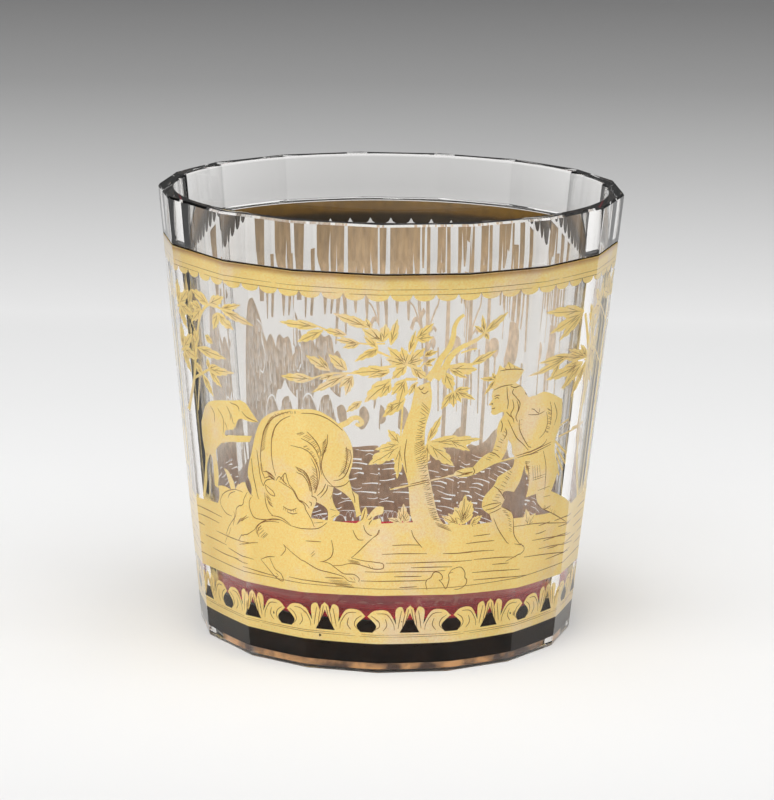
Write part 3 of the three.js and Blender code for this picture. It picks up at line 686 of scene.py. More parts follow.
def spray(base, heading, length, fingers):
    """Leaves that fan out from one base, the middle one longest."""
    leaves = []
    for i in range(fingers):
        turn = i * SPRAY_SPREAD / (fingers - 1) - SPRAY_SPREAD / 2
        reach = length * (1 - 0.35 * abs(turn) / SPRAY_SPREAD)
        leaves.append((base, turned(base, math.radians(heading) + turn, reach), 0.36 * length))
    return leaves


# Leaf cut to outlines and bent round the wall

LONGEST_SIDE = 1.6
# Inner points of a sheet: where their grid's columns and rows start and how far every other row is
# shifted, as shares of LONGEST_SIDE
GRID_COLUMN, GRID_ROW, GRID_SHIFT = 0.31, 0.47, 0.5
# Triangles are made only inside the outlines, and points this close are merged
INSIDE_OUTLINES, MERGE_DISTANCE = 1, 1e-4
# Points that fall on the same 0.2 micrometres round the wall are one
WELD_SCALE = 5e6


def subdivided(points):
    """A closed outline with its long sides divided, anticlockwise."""
    loop = []
    for here, there in zip(points, points[1:] + points[:1]):
        parts = max(1, math.ceil(math.dist(here, there) / LONGEST_SIDE))
        loop += [tuple(p + (q - p) * i / parts for p, q in zip(here, there)) for i in range(parts)]
    area = sum(p[0] * q[1] - q[0] * p[1] for p, q in zip(loop, loop[1:] + loop[:1]))
    return loop if area > 0 else loop[::-1]


def cut_leaf(outlines, holes=(), window=None):
    """Triangles over the joined outlines, less the holes, inside the window."""
    windows = [window] if window else []
    coords, faces = [], []
    for points in [*outlines, *holes, *windows]:
        loop = subdivided(points)
        faces.append(list(range(len(coords), len(coords) + len(loop))))
        coords += [Vector(point) for point in loop]
    low = [min(c[axis] for c in coords) for axis in (0, 1)]
    high = [max(c[axis] for c in coords) for axis in (0, 1)]
    columns, rows = (int((high[axis] - low[axis]) / LONGEST_SIDE) for axis in (0, 1))
    for i in range(columns):
        for j in range(rows):
            shift = GRID_COLUMN + GRID_SHIFT * (j % 2)
            u = low[0] + (i + shift) * LONGEST_SIDE
            z = low[1] + (j + GRID_ROW) * LONGEST_SIDE
            coords.append(Vector((u, z)))
    found = delaunay_2d_cdt(coords, [], faces, INSIDE_OUTLINES, MERGE_DISTANCE)
    points, _, triangles, _, _, sources = found
    first_hole = len(outlines)
    first_window = first_hole + len(holes)
    kept = []
    for triangle, source in zip(triangles, sources):
        inside = any(i < first_hole for i in source)
        in_hole = any(first_hole <= i < first_window for i in source)
        in_window = not windows or first_window in source
        if inside and in_window and not in_hole:
            kept.append(tuple(triangle))
    return [tuple(point) for point in points], kept


def on_wall(u, z, depth):
    """A point on the leaf in place on the wall, a depth out from its inner face."""
    return wall_point(bore_radius(z) + LEAF_BITE - LEAF_THICKNESS + depth, u / ARC_RADIUS, z)


def leaf_solid(name, points, triangles, place_at):
    """A thin closed solid over flat triangles: leaf on the outside, its back on the inside, darker by painted
    shade.
    """
    corners = []
    known = {}

    def corner(i):
        """The number of a point among the corners, the same for points that meet round the wall."""
        key = tuple(round(c * WELD_SCALE) for c in place_at(*points[i], 0))
        if key not in known:
            known[key] = len(corners)
            corners.append(points[i])
        return known[key]

    fronts = [[corner(i) for i in triangle] for triangle in triangles]
    count = len(corners)
    vertices = [place_at(u, z, depth) for depth in (LEAF_THICKNESS, 0) for u, z in corners]
    faces, looks = [], []
    open_edges = {}
    for front in fronts:
        faces += [front, [i + count for i in reversed(front)]]
        looks += [0, 1]
        for here, there in zip(front, front[1:] + front[:1]):
            if (there, here) in open_edges:
                del open_edges[(there, here)]
            else:
                open_edges[(here, there)] = True
    for here, there in open_edges:
        faces.append([there, here, here + count, there + count])
        looks.append(1)
    mesh = bpy.data.meshes.new(name)
    mesh.from_pydata(vertices, [], faces)
    mesh.polygons.foreach_set("material_index", looks)
    mesh.update()
    return mesh


def add_leaf(name, node, outlines, holes=(), window=None, place_at=on_wall):
    """A piece of gold leaf, cut flat to its outlines and then bent into place."""
    points, triangles = cut_leaf(outlines, holes, window)
    mesh = leaf_solid(name, points, triangles, place_at)
    add_piece(name, mesh, [GOLD, GOLD_INNER], "gold_leaf", node)


def encloses(shape, point):
    """Whether a closed outline goes round a point."""
    u, z = point
    inside = False
    for (a, b), (c, d) in zip(shape, shape[1:] + shape[:1]):
        if (b > z) != (d > z) and u < a + (c - a) * (z - b) / (d - b):
            inside = not inside
    return inside


def on_shapes(lines, shapes):
    """The runs of each line that lie on one of the shapes, as close rows of points with a width.
    A line of two points is a fine stroke."""
    boxes = []
    for shape in shapes:
        across, up = zip(*shape)
        boxes.append((shape, min(across), max(across), min(up), max(up)))
    runs = []
    for line in lines:
        width = HATCH_WIDTH if len(line) == 2 else LINE_WIDTH
        curve = line if len(line) == 2 else through(line, STROKE_STEPS)
        run = []
        for u, z in subdivided_line(curve, LINE_STEP):
            near = [shape for shape, left, right, low, high in boxes if left < u < right and low < z < high]
            if any(encloses(shape, (u, z)) for shape in near):
                run.append((u, z))
            else:
                runs.append((run, width))
                run = []
        runs.append((run, width))
    return [(run, width) for run, width in runs if len(run) > 1]


def subdivided_line(points, longest):
    """An open line with its long sides divided."""
    line = [points[0]]
    for here, there in zip(points, points[1:]):
        parts = max(1, math.ceil(math.dist(here, there) / longest))
        line += [tuple(p + (q - p) * (i + 1) / parts for p, q in zip(here, there)) for i in range(parts)]
    return line


def add_engraving(name, runs):
    """A piece of engraved lines, each a thin ribbon that swells in its middle as a burin's cut does."""
    top = LEAF_THICKNESS + LINE_LIFT + LINE_THICKNESS
    bottom = LEAF_THICKNESS + LINE_LIFT
    mesh = bmesh.new()
    for run, width in runs:
        rows = []
        for i, point in enumerate(run):
            before, after = run[max(i - 1, 0)], run[min(i + 1, len(run) - 1)]
            angle = math.atan2(after[1] - before[1], after[0] - before[0])
            half = width / 2 * (0.5 + 0.5 * math.sin(math.pi * i / (len(run) - 1)))
            sides = [turned(point, angle, 0, half), turned(point, angle, 0, -half)]
            rows.append([mesh.verts.new(on_wall(*side, depth)) for depth in (top, bottom) for side in sides])
        for here, there in zip(rows, rows[1:]):
            for i, j in ((0, 1), (1, 3), (3, 2), (2, 0)):
                mesh.faces.new((here[i], here[j], there[j], there[i]))
        for row in (rows[0], rows[-1]):
            mesh.faces.new((row[0], row[1], row[3], row[2]))
    bmesh.ops.recalc_face_normals(mesh, faces=mesh.faces)
    add_piece(name, mesh_data(name, mesh), [LINE], "gold_leaf")


def band(bottom_at, top_at, start, end, step=1.2):
    """A band along the arc between a lower and an upper line."""
    count = math.ceil((end - start) / step)
    run = [start + (end - start) * i / count for i in range(count + 1)]
    return [(u, bottom_at(u)) for u in run] + [(u, top_at(u)) for u in reversed(run)]


# Borders

def broken_lines(heights, seed):
    """Fine lines round the wall, with gaps where they are worn."""
    chance = random.Random(seed)
    runs = []
    for z in heights:
        u = 0.0
        while u < ARC_LENGTH:
            end = min(u + chance.uniform(4, 26), ARC_LENGTH)
            ends = [(u, z + chance.uniform(-0.05, 0.05)), (end, z)]
            runs.append((subdivided_line(ends, LONG_LINE_STEP), HATCH_WIDTH))
            u = end + chance.uniform(0.3, 2.5)
    return runs


def make_upper_border():
    """A plain band with a hem of round scallops."""
    pitch = ARC_LENGTH / SCALLOPS
    steps = 10

    def hem_at(u):
        across = 2 * ((u / pitch) % 1) - 1
        return SCALLOP_CUSP - (SCALLOP_CUSP - SCALLOP_TIP) * math.sqrt(max(0, 1 - across * across))

    outlines = [band(hem_at, lambda u: UPPER_BORDER_TOP, 0, ARC_LENGTH, pitch / steps)]
    add_engraving("engraving_upper_border", broken_lines(UPPER_BORDER_LINES, 8))
    add_leaf("leaf_upper_border", "gold_upper_border", outlines)


def half_scroll():
    """Half of a pair of acanthus scrolls: a leaf curls over a round opening, and two fingers lean
    away from it to meet the next pair over a pointed opening."""
    half = math.pi * ARC_RADIUS / SCROLL_PAIRS
    past_half = half + 0.07
    base = LOWER_LINE_TOP - 0.15
    return outline(
        (1, base),
        [(1.85, 8.5), (0.2, 10.2)],
        [(1.5, 11.3), (3.8, 11.2), (5.3, 8.8)],
        [(5.2, 11.4), (6.3, 12), (6.9, 10.6)],
        [(7.2, 11.7)],
        [(past_half, 12.3)],
        [(past_half, 11.1)],
        [(7.1, 9.3), (5.9, base)],
    )


def scroll_lines():
    """Engraved lines of half a pair of scrolls."""
    return [
        [(1.35, 7.5), (2.25, 8.5), (1.9, 9.6), (0.9, 10.3)],
        [(1.9, 10.8), (3.6, 10.6), (4.8, 8.9), (5, 7.7)],
        [(2.9, 7.6), (3.6, 8.6), (3.3, 9.8)],
        [(5.7, 8), (6, 9.8), (6.3, 11.3)],
        [(6.5, 8.2), (6.7, 9.6), (7, 10.9)],
        [(6.9, 8.9), (7.3, 10.1), (7.6, 11.6)],
    ]


def round_the_foot(shapes):
    """The outlines or lines of half a pair of scrolls, repeated round the wall."""
    repeated = []
    for i in range(SCROLL_PAIRS):
        for mirrored in (False, True):
            repeated += placed(shapes, FIRST_SCROLL + i * SCROLL_PITCH, 0, 1, mirrored)
    return repeated


def make_lower_border():
    """A line with pairs of acanthus scrolls on it."""
    start = FIRST_SCROLL - SCROLL_PITCH / 2
    outlines = [band(lambda u: LOWER_LINE_BOTTOM, lambda u: LOWER_LINE_TOP, start, start + ARC_LENGTH)]
    outlines += round_the_foot([half_scroll()])
    lines = on_shapes(round_the_foot(scroll_lines()), outlines)
    add_engraving("engraving_lower_border", lines + broken_lines(LOWER_BORDER_LINES, 9))
    add_leaf("leaf_lower_border", "gold_lower_border", outlines)


# Motifs of the frieze. Each gives its shapes and its engraved lines.
# Those of the front are drawn at their own place on the wall.

def big_tree():
    """An old tree with a bent trunk, two boughs and many leaves."""
    leaves = fans(
        ((-11.1, 61.8), 1.7, (-17.7, 62)),
        ((-10.4, 61.2), 1.7, (-14.8, 58.8)),
        ((-6.6, 60.6), 1.4, (-10.5, 61.4)),
        ((-4.5, 59.3), 1.2, (-8.5, 59.7), (-7.3, 58.3)),
        ((-2.9, 62.1), 1.8, (-8.8, 64.3)),
        ((-2.8, 61.9), 1, (-3.6, 63.7)),
        ((-0.9, 59.7), 1.8, (-4.2, 61.9), (-2.8, 62.1), (-0.6, 62.9)),
        ((-1.6, 58.6), 1.3, (-3.9, 60.6), (-5.4, 56), (-3.3, 56.7)),
        ((0.2, 59.1), 1.5, (1.2, 63.7)),
        ((0.1, 54.8), 2, (-5.9, 54.1)),
        ((0.1, 54.4), 1, (-3.3, 53.3)),
        ((-6.6, 54.4), 2, (-9.6, 57.1)),
        ((-9.4, 54.2), 1.8, (-13.4, 56.6)),
        ((-9.5, 54.4), 0.7, (-11.3, 56.8)),
        ((-6.5, 53.8), 1.5, (-12.6, 50)),
        ((-8.8, 53.5), 1, (-11.3, 52.5)),
        ((-5.7, 53.5), 1.4, (-7.9, 51.3), (-6.9, 49.9)),
        ((-12.2, 52.5), 1.7, (-17.9, 52.4)),
        ((0.3, 53.2), 2.4, (-3.8, 48.9)),
        ((0.3, 52.4), 1.7, (-1.4, 49.9)),
        ((-4.2, 49.1), 1.3, (-6.8, 47)),
        ((3.1, 57.7), 1, (4.1, 61.7)),
        ((4.2, 60.1), 1.6, (6.9, 62.9), (6.9, 60.4)),
        ((2.8, 55.7), 1.8, (-0.3, 58.8), (1.9, 58.8), (-0.6, 56.7)),
        ((2.8, 55.7), 1.8, (5.7, 58.6), (5.5, 56.5), (0.4, 53.1)),
        ((2.6, 53.1), 1.8, (1.5, 48.4), (0.4, 50.3)),
        ((3.5, 55.2), 1.8, (6.2, 53.1)),
        ((5.6, 57.1), 0.8, (7, 58.3), (7.8, 58)),
        ((5.7, 55.8), 0.7, (7.6, 56.8), (7, 55.4)),
        ((4.4, 52.6), 1, (3.2, 50.2)),
        ((0.9, 48.5), 1.3, (-0.7, 46.8), (-0.4, 48.3)),
        ((15.2, 60.7), 0.9, (13.3, 62.2), (14.6, 64), (16.1, 59.5)),
        ((15.2, 60.7), 1.5, (19.3, 64.1)),
        ((13.1, 55.3), 1.4, (17.7, 57.5)),
        ((9.8, 54.8), 2.4, (14.3, 54.4)),
        ((9.7, 54.7), 1, (12.6, 53)),
        ((8.9, 54.2), 2.1, (10.5, 50.8)),
        ((10.5, 50.7), 1.4, (8.6, 47.6), (10.7, 47.9)),
        ((10.8, 50.9), 1.1, (14.3, 49), (13.3, 51.2), (12, 48.7)),
        ((17.8, 52.3), 0.9, (14.9, 52.7), (17.1, 53.5), (15.9, 49.7)),
        ((2, 41.7), 1.7, (-0.1, 44.2), (-2, 40.6), (1.6, 35.3)),
        ((2, 41.4), 2.6, (-3.1, 37.8)),
        ((6.5, 41.7), 1.3, (8.8, 46.6), (6.6, 37.7)),
        ((6.6, 41.8), 2.2, (15.9, 41.9)),
        ((6.6, 41.6), 2.4, (11.3, 37.4)),
        ((10, 42.3), 1.4, (13.9, 39.9)),
        ((2.7, 49.7), 2, (-1, 46.4)),
    )
    trunk = outline(
        (3.5, 23.1),
        [(4.9, 26.1), (4, 29.1), (3.5, 34.5), (2.4, 38.4), (2.1, 42), (2.8, 45.4), (3.6, 47.9)],
        [(4.1, 50.8)],
        [(4.5, 51.7), (6.5, 52.6)],
        [
            (7, 50.6), (6.9, 47.8), (6.2, 44.7), (6.1, 41.7), (6.7, 37.8), (7.7, 33.2), (9, 28.5),
            (10.8, 26.3), (14.2, 24.4),
        ],
    )
    boughs = [
        stem([
            (6.2, 52.9), (7.5, 54.8), (8.2, 56.5), (9.5, 58.4), (10.1, 60.5), (10.2, 62), (10.8, 63.4),
            (11.7, 64.2),
        ], 1.3, 0.5),
        stem([
            (7.6, 53), (8.9, 54.9), (9.6, 56.5), (10.7, 57.9), (12.2, 58.9), (14.1, 59.8), (15.2, 60.7),
        ], 1.3, 0.5),
    ]
    twigs = stems(
        ([(-2.2, 58.9), (-2.9, 61.9), (-3.9, 63.2)], 0.3),
        ([(-0.7, 59.4), (-4.7, 59.3), (-8.7, 60.8), (-11.1, 61.8)], 0.3),
        ([(0.1, 54.4), (-3, 54), (-6.6, 53.9), (-9.7, 53.6), (-12.5, 52.5)], 0.3),
        ([(-2.3, 55), (-0.1, 55.3), (2.8, 55.7), (4.5, 54.4)], 0.5),
        ([(-2, 58.5), (-1.6, 57.9), (2.8, 55.7)], 0.4),
        ([(2.8, 55.7), (3.7, 57.9), (4.4, 60.2)], 0.4),
        ([(4.5, 54.4), (5.7, 56)], 0.3),
        ([(2.6, 53.1), (4.6, 53.1)], 0.5),
        ([(0.9, 48.5), (3.1, 50.9), (4.6, 52.6)], 0.4),
        ([(11.5, 57.5), (12.8, 58), (14, 58.1)], 0.3),
        ([(8.9, 54.7), (10.2, 55.3), (13.1, 55.4), (14.7, 55.8)], 0.5),
        ([(8.9, 54.2), (9.8, 52.4), (10.5, 50.7), (10.8, 49.9)], 0.4),
        ([(2.3, 48.8), (2, 41.4)], 0.3),
    )
    lines = [
        [(3.1, 42.5), (2.8, 39.7), (3.2, 36.5)],
        [(6.3, 22.8), (4.8, 24.7), (4.3, 26.1)],
        [(4.5, 54.3), (5, 53.3), (6.2, 53.1)],
        [(4.8, 51.7), (5.2, 51.2), (5.7, 51.7)],
        [(5.2, 50.9), (5.8, 50.5), (6.4, 51)],
        *hatch(
            [
                (5.4, 49), (4.7, 43.6), (4.4, 40.6), (4.9, 37.9), (5.9, 34.6), (6.6, 31.8), (7.4, 29),
                (8.9, 26.7),
            ],
            [
                (6.7, 47.6), (6.2, 43.3), (6.1, 41.5), (6.7, 38.3), (7.6, 34.6), (8.3, 31.3), (9.4, 28.5),
                (11.5, 25.6),
            ],
            50,
        ),
        *hatch(
            [(5.2, 46), (5.3, 40.2), (6.6, 34), (8.1, 28)],
            [(6.6, 46.4), (6.1, 41), (7.6, 34.8), (9.6, 28)],
            34,
        ),
        *leaf_veins(leaves),
    ]
    return [trunk, *boughs, *twigs, *leaf_shapes(leaves)], lines


def front_bushes():
    """Tufts of leaves on the ground at the front."""
    leaves = fans(
        ((12.9, 26.7), 2.3, (13.5, 32.1), (14.7, 30.9)),
        ((12.6, 26.8), 1.3, (9.5, 28.5), (10.7, 28.9)),
        ((3, 27.5), 1.4, (2.8, 30.9), (3.8, 29)),
        ((2.5, 27.5), 1, (2, 29.9), (0.1, 28.3)),
        ((13.5, 26.8), 2.2, (13.5, 32.1), (11.8, 30), (15, 30.5)),
        ((14.8, 26.6), 1.4, (17.1, 27.9), (16.2, 26.3)),
        ((27.3, 24.5), 2, (26.2, 27.9), (29.1, 26.6)),
    )
    return leaf_shapes(leaves), leaf_veins(leaves)


def boar():
    """A boar with an arched back, its head down between its forelegs."""
    body = outline(
        (-29.8, 21.9),
        [
            (-25.5, 29.8), (-26, 33.8), (-24.8, 37.7), (-23.7, 41.1), (-22.3, 43.8), (-20.1, 45.5),
            (-17.3, 46.5), (-14.6, 46.9), (-12, 47), (-9.8, 46.1), (-7.7, 44.4), (-6.3, 42.3), (-5.7, 40),
            (-5.8, 37.8), (-6.5, 35.4),
        ],
        [(-6.5, 35.4), (-6.1, 33.9), (-5.9, 33)],
        [(-4.8, 32.3)],
        [(-4.6, 30.1), (-4.3, 28.8)],
        [(-5.2, 28.2)],
        [(-5.3, 29.3), (-5.9, 31.1), (-7.2, 32.4), (-9.1, 33.5)],
        [(-9.4, 31.5), (-8.8, 29.7), (-8.1, 28.9)],
        [(-8.3, 28.4), (-9.3, 27.6), (-9.8, 25.7)],
        [(-10.5, 25.6)],
        [(-10.2, 28.5), (-10.7, 29.7), (-12.4, 30.5)],
        [(-12.4, 30.1), (-13, 28.9)],
        [(-13.3, 27.4), (-12.7, 25)],
    )
    tail = stem([
        (-8, 44.4), (-6.7, 45.1), (-5.8, 45.9), (-4.8, 46.1), (-4.1, 45.3), (-4.7, 44.8), (-5.2, 45.1),
    ], 1, 0.6)
    lines = [
        [(-22, 41.3), (-21.4, 42.7), (-19.8, 44.6), (-18.1, 45.6), (-16.3, 46.3)],
        [(-14.5, 46.2), (-12.8, 46.3), (-11.3, 46.1), (-9.8, 45.5), (-8.6, 44.7), (-7.4, 43.7)],
        [(-19.8, 34.2), (-20.3, 35.9), (-20.5, 38.4), (-20.2, 41.2), (-19.4, 43.2), (-18.5, 44.1)],
        [(-16.3, 45.5), (-18.1, 44.5), (-19.5, 42.9), (-20.1, 41.1)],
        [(-20.6, 44.2), (-21.8, 42.1), (-22.4, 40), (-22.9, 37), (-22.5, 34.6)],
        [(-22.9, 36), (-22.8, 34.8), (-22.2, 33.4)],
        [(-23.6, 38.3), (-23.4, 35.8), (-23.1, 33.2), (-22.6, 32)],
        [
            (-10, 42.8), (-10.1, 41.1), (-10.8, 39.2), (-11.2, 37.4), (-11, 35.9), (-10.3, 34.6),
            (-9.2, 33.5),
        ],
        [(-11.4, 39), (-11.4, 37), (-11.2, 35.5)],
        [(-13.6, 43), (-12.4, 41.8), (-11.5, 40.4), (-11.2, 38.8)],
        [(-14.7, 41.7), (-13.2, 41), (-12.1, 39.8), (-11.6, 38.4)],
        [
            (-16.5, 40.2), (-14.8, 40), (-13.3, 39.3), (-12.2, 37.8), (-11.6, 35.9), (-11.8, 34),
            (-12.4, 32.1),
        ],
        [(-15.7, 36.5), (-14.3, 35.8), (-13.5, 34.6), (-13.1, 32.9), (-13, 31.3)],
        [(-15.6, 35.6), (-14.5, 35), (-13.7, 33.8), (-13.4, 32.4)],
        [(-13, 38.3), (-12.2, 36.7), (-12, 35.1), (-12.1, 33.4), (-12.6, 32.1)],
        [(-6.8, 40.8), (-6.7, 38.8), (-7.2, 36.6), (-8.2, 35.4)],
        [(-6.2, 40.3), (-6, 38.9), (-6.4, 37.2), (-7.1, 35.6), (-8.1, 34.8), (-9.1, 34.6)],
        [(-10, 33.6), (-8.5, 33.5), (-7.1, 34), (-6.2, 35)],
        [
            (-22.2, 32.3), (-21.4, 31.8), (-20.5, 31.2), (-20.3, 30.5), (-21.3, 30.7), (-22, 31.4),
            (-22.2, 32.3),
        ],
        [(-19, 33.6), (-18.4, 34.4), (-17.8, 35), (-17.5, 34), (-17.1, 32.8)],
        [(-18.2, 34.5), (-18.3, 33.6), (-17.7, 33)],
        [(-19.8, 33.4), (-19.1, 34.2), (-18.2, 33.4), (-17.5, 33)],
        [
            (-19.3, 33.4), (-18.1, 32.9), (-16.5, 32.2), (-15.6, 30.8), (-14.5, 29.7), (-14.3, 28.9),
            (-13.4, 27.4), (-12.8, 25.9),
        ],
        [(-17.1, 33), (-16.1, 32), (-15.4, 30.7), (-14.3, 30), (-13.6, 29.2)],
        [(-18.6, 28.9), (-17.6, 28.5), (-16.7, 28.5), (-15.8, 29)],
        [(-17.7, 28), (-16.7, 27.8), (-15.7, 28.1)],
        [(-21.3, 26.8), (-19.5, 26.8), (-18.3, 26.4), (-17.2, 25.7)],
        [(-22.4, 30.8), (-22.3, 28.9), (-21.7, 27.5), (-20.8, 26.8)],
        [(-22.1, 30.3), (-21.5, 28.9), (-20.7, 28.4)],
        [(-13.2, 31.5), (-12.3, 31.1), (-12.3, 30.1)],
        [(-13.6, 30.4), (-13.2, 30.2), (-13.3, 29.6)],
        [(-12.1, 31.6), (-11.1, 32.6), (-10.5, 33.9)],
        [(-11.5, 31.3), (-10.4, 32.7), (-10.1, 33.8)],
        [(-9.7, 31.2), (-9.2, 32.8)],
        [(-5.9, 32.9), (-5.5, 31.9), (-5.4, 30.8)],
        [(-9.9, 29.4), (-8.8, 29.2)],
        [(-22.5, 34.6), (-21.2, 34.6), (-20, 33.7)],
        [(-22.3, 33.4), (-21, 33.9), (-20, 33.4)],
        [(-22.6, 32), (-21.9, 33.1), (-20.4, 33.6)],
        [(-24.9, 36.6), (-24.8, 34), (-24.4, 31.7), (-23.9, 29.4)],
        [(-8.8, 28.4), (-9.6, 27.9)],
        *hatch(
            [(-15.7, 36.5), (-14.3, 35.8), (-13.5, 34.6), (-13.1, 32.9)],
            [(-14.9, 35.6), (-14, 34.8), (-13.5, 33.6), (-13.3, 32.2)],
            14,
        ),
        *hatch([(-12.9, 36.8), (-12.7, 34.7), (-12.7, 33.4)], [(-12, 36), (-11.9, 34), (-12.2, 32.6)], 9),
        *hatch([(-7, 40.6), (-7.2, 38.6), (-7.9, 36.3)], [(-6.2, 40.2), (-6.3, 38), (-7, 35.9)], 16),
        *hatch([(-20.6, 44.3), (-22, 41.2), (-22.7, 38.2)], [(-19.6, 45.1), (-21.2, 42), (-21.8, 38.9)], 18),
        *hatch([(-18.4, 28.8), (-17.3, 28.5), (-16.1, 28.8)], [(-18.6, 28.2), (-17.4, 27.9), (-16, 28.3)], 6),
        *hatch([(-10.9, 41.1), (-11.2, 38.8)], [(-10.2, 42.1), (-10.2, 40)], 9),
        *hatch([(-22.1, 30.6), (-21.6, 28.9)], [(-21.2, 29.8), (-20.8, 28.6)], 6),
        *hatch(
            [(-15.3, 42.4), (-13.3, 41.2), (-11.9, 39.2)],
            [(-14.4, 42.9), (-12.4, 41.7), (-11.4, 39.8)],
            14,
        ),
        *hatch(
            [(-14.4, 40.2), (-12.9, 38.9), (-12.2, 37.2)],
            [(-13.7, 40.5), (-12.4, 39.2), (-11.8, 37.6)],
            12,
        ),
        *hatch([(-13.3, 34.8), (-12.9, 32.6)], [(-12.5, 35.4), (-12.2, 33)], 10),
        *hatch([(-21.9, 34.9), (-21.3, 33.9)], [(-20.5, 34.2), (-20.2, 33.4)], 8),
        *hatch([(-19.5, 45.4), (-17.5, 46.1), (-15.3, 46.5)], [(-19, 44.9), (-17.3, 45.6), (-15.3, 46)], 12),
    ]
    return [body, tail], lines


def hounds():
    """A hound's raised head at the boar's left, one thrown back at its right, and the hounds engraved
    on the ground below them."""
    head = outline(
        (-38.3, 22.3),
        [(-35, 27.2), (-34.9, 29.6)],
        [(-32.8, 30), (-30.5, 29.8)],
        [(-31.3, 31.7), (-32.4, 33.4)],
        [(-31, 33.1), (-29.5, 31.5), (-29.1, 30.2)],
        [(-27.9, 31.6), (-26.8, 32)],
        [(-26.2, 30.5), (-24.6, 28.5), (-24.6, 25.7)],
    )
    thrown_back = outline(
        (-6.3, 25.6),
        [(-5.6, 26.8), (-4.4, 27.7)],
        [(-4.2, 29.2), (-3.5, 30.3)],
        [(-3.2, 29), (-3.5, 27.9)],
        [(-2.9, 28.9), (-2.1, 29.9), (-1.4, 30.4), (-0.6, 30.3)],
        [(-0.7, 29.2), (-1.3, 28.9)],
        [(-2, 28.5), (-2.4, 27.9)],
        [(-1.8, 28), (-1.2, 28.3)],
        [(-1, 27.2), (-1.3, 25.6)],
    )
    lines = [
        [(-4.4, 27.7), (-4, 28.2), (-3.6, 29.8)],
        [(-3.1, 28), (-2.7, 28.1), (-2.5, 28.5)],
        [(-2.4, 27.9), (-2.8, 27.4), (-2.9, 27)],
        [(-3.9, 26.9), (-3.6, 25.9), (-2.9, 25.2), (-2.4, 25.1)],
        [(-1.3, 26.2), (-1.5, 25.3), (-2.2, 24.7)],
        [(-34.6, 27), (-33.4, 28.4), (-31.3, 29.5), (-28.9, 30.2), (-27.5, 30)],
        [(-31.8, 28), (-31, 29), (-29.2, 29.8)],
        [(-34.6, 27), (-34.4, 26), (-32.8, 25), (-31, 24.9)],
        [
            (-26.2, 30.5), (-27.3, 28.9), (-27.7, 27.8), (-29.2, 26.7), (-29.8, 25.1), (-32.1, 22.9),
            (-33.5, 20.9),
        ],
        [(-25.5, 29.5), (-26.1, 28.5), (-26, 27.1), (-25.1, 25.8), (-22.7, 25.8), (-19.5, 26.3)],
        [(-26.9, 25.9), (-28.4, 24.8), (-29.5, 23.6)],
        [(-30.2, 25.9), (-30, 25.1), (-30.8, 23.2)],
        [(-27.6, 34.6), (-27.2, 33.6), (-26.8, 32), (-26.2, 30.5)],
        [(-26.8, 32), (-26.1, 30.9), (-25.2, 29.7)],
        [(-31.6, 22.7), (-32.7, 20.8)],
        [(-32.7, 21.3), (-34.1, 19.3)],
        [(-29.3, 20.8), (-28.1, 22.1), (-27.1, 22.4), (-25.2, 23.6)],
        [(-29.3, 23.8), (-27.8, 25), (-26.5, 25.7)],
        [(-29.1, 20.1), (-27, 20.8), (-24.7, 21.3)],
        [(-25.2, 23.6), (-24.5, 24.5), (-23, 25.5), (-21.1, 26.2), (-19.2, 26.3), (-17.3, 25.6)],
        [(-24.8, 22.9), (-24.8, 23.9), (-23.6, 25.1), (-21.6, 25.7), (-19.6, 25.8)],
        [(-24.4, 22.4), (-24.6, 23.4), (-23.7, 24.6)],
        [(-17.3, 25.6), (-14.9, 25.4), (-12.1, 25.7), (-10.4, 26.9)],
        [(-12.9, 26.6), (-11.1, 26.9)],
        [(-18.9, 21.9), (-18.5, 21), (-19.6, 19.7)],
        [
            (-18.9, 21.9), (-17, 20.6), (-14.6, 19.3), (-12.3, 18.2), (-10, 17.8), (-7.7, 17.3),
            (-6.6, 16.5), (-5.4, 16.4),
        ],
        [(-24.2, 18.3), (-22.7, 19), (-21, 19.3)],
        [
            (-24.2, 18.3), (-22.5, 16.8), (-21.2, 15.7), (-19.9, 15.1), (-19.3, 15.3), (-19.8, 16.4),
            (-21.1, 17.1), (-22.1, 18.9),
        ],
        [(-9.7, 23.8), (-9.4, 22.1), (-9.8, 20.7), (-11.1, 19.8), (-11.8, 19.7)],
        [
            (-11.8, 19.7), (-10.2, 19.5), (-8.8, 18.6), (-7.5, 17.8), (-5.7, 17.8), (-4.7, 17.1),
            (-4.8, 16.5),
        ],
        [
            (-9.6, 19.1), (-7.9, 19.3), (-6.6, 19.7), (-5, 19.7), (-3.3, 19.3), (-2, 19), (-0.7, 19.1),
            (-0.5, 19.7), (-0.9, 20.1), (-2.4, 20.3), (-3.9, 20.4), (-6.1, 20.8),
        ],
        [(-6.1, 20.8), (-5, 21.8), (-3.2, 23.7), (-2.2, 24.7)],
        [(-5.8, 25.9), (-5.4, 25), (-4.8, 24.2), (-3.9, 24.2)],
        [(-3.1, 19.8), (-2.6, 19.2)],
        [(-2.4, 19.5), (-2.2, 19.1)],
        [(-6.4, 17.2), (-5.9, 16.8)],
        [(-5.7, 17.2), (-5.4, 16.7)],
        [(-20.9, 16.4), (-20.3, 15.9)],
        [(-13.6, 20.8), (-12.9, 21.5)],
        [(-13.5, 20.4), (-12.8, 21.1)],
        *hatch(
            [(-24.6, 23.9), (-24.2, 22.5), (-23.4, 22.3)],
            [(-23.6, 24.5), (-22.9, 23.7), (-22.2, 23.3)],
            6,
        ),
        *hatch([(-11.1, 16.9), (-9, 15.6)], [(-7.7, 17), (-5.6, 15.4)], 7),
        *hatch([(-6.8, 20.4), (-6.4, 19.8)], [(-4.8, 20.2), (-4.4, 19.8)], 4),
    ]
    return [head, thrown_back], lines


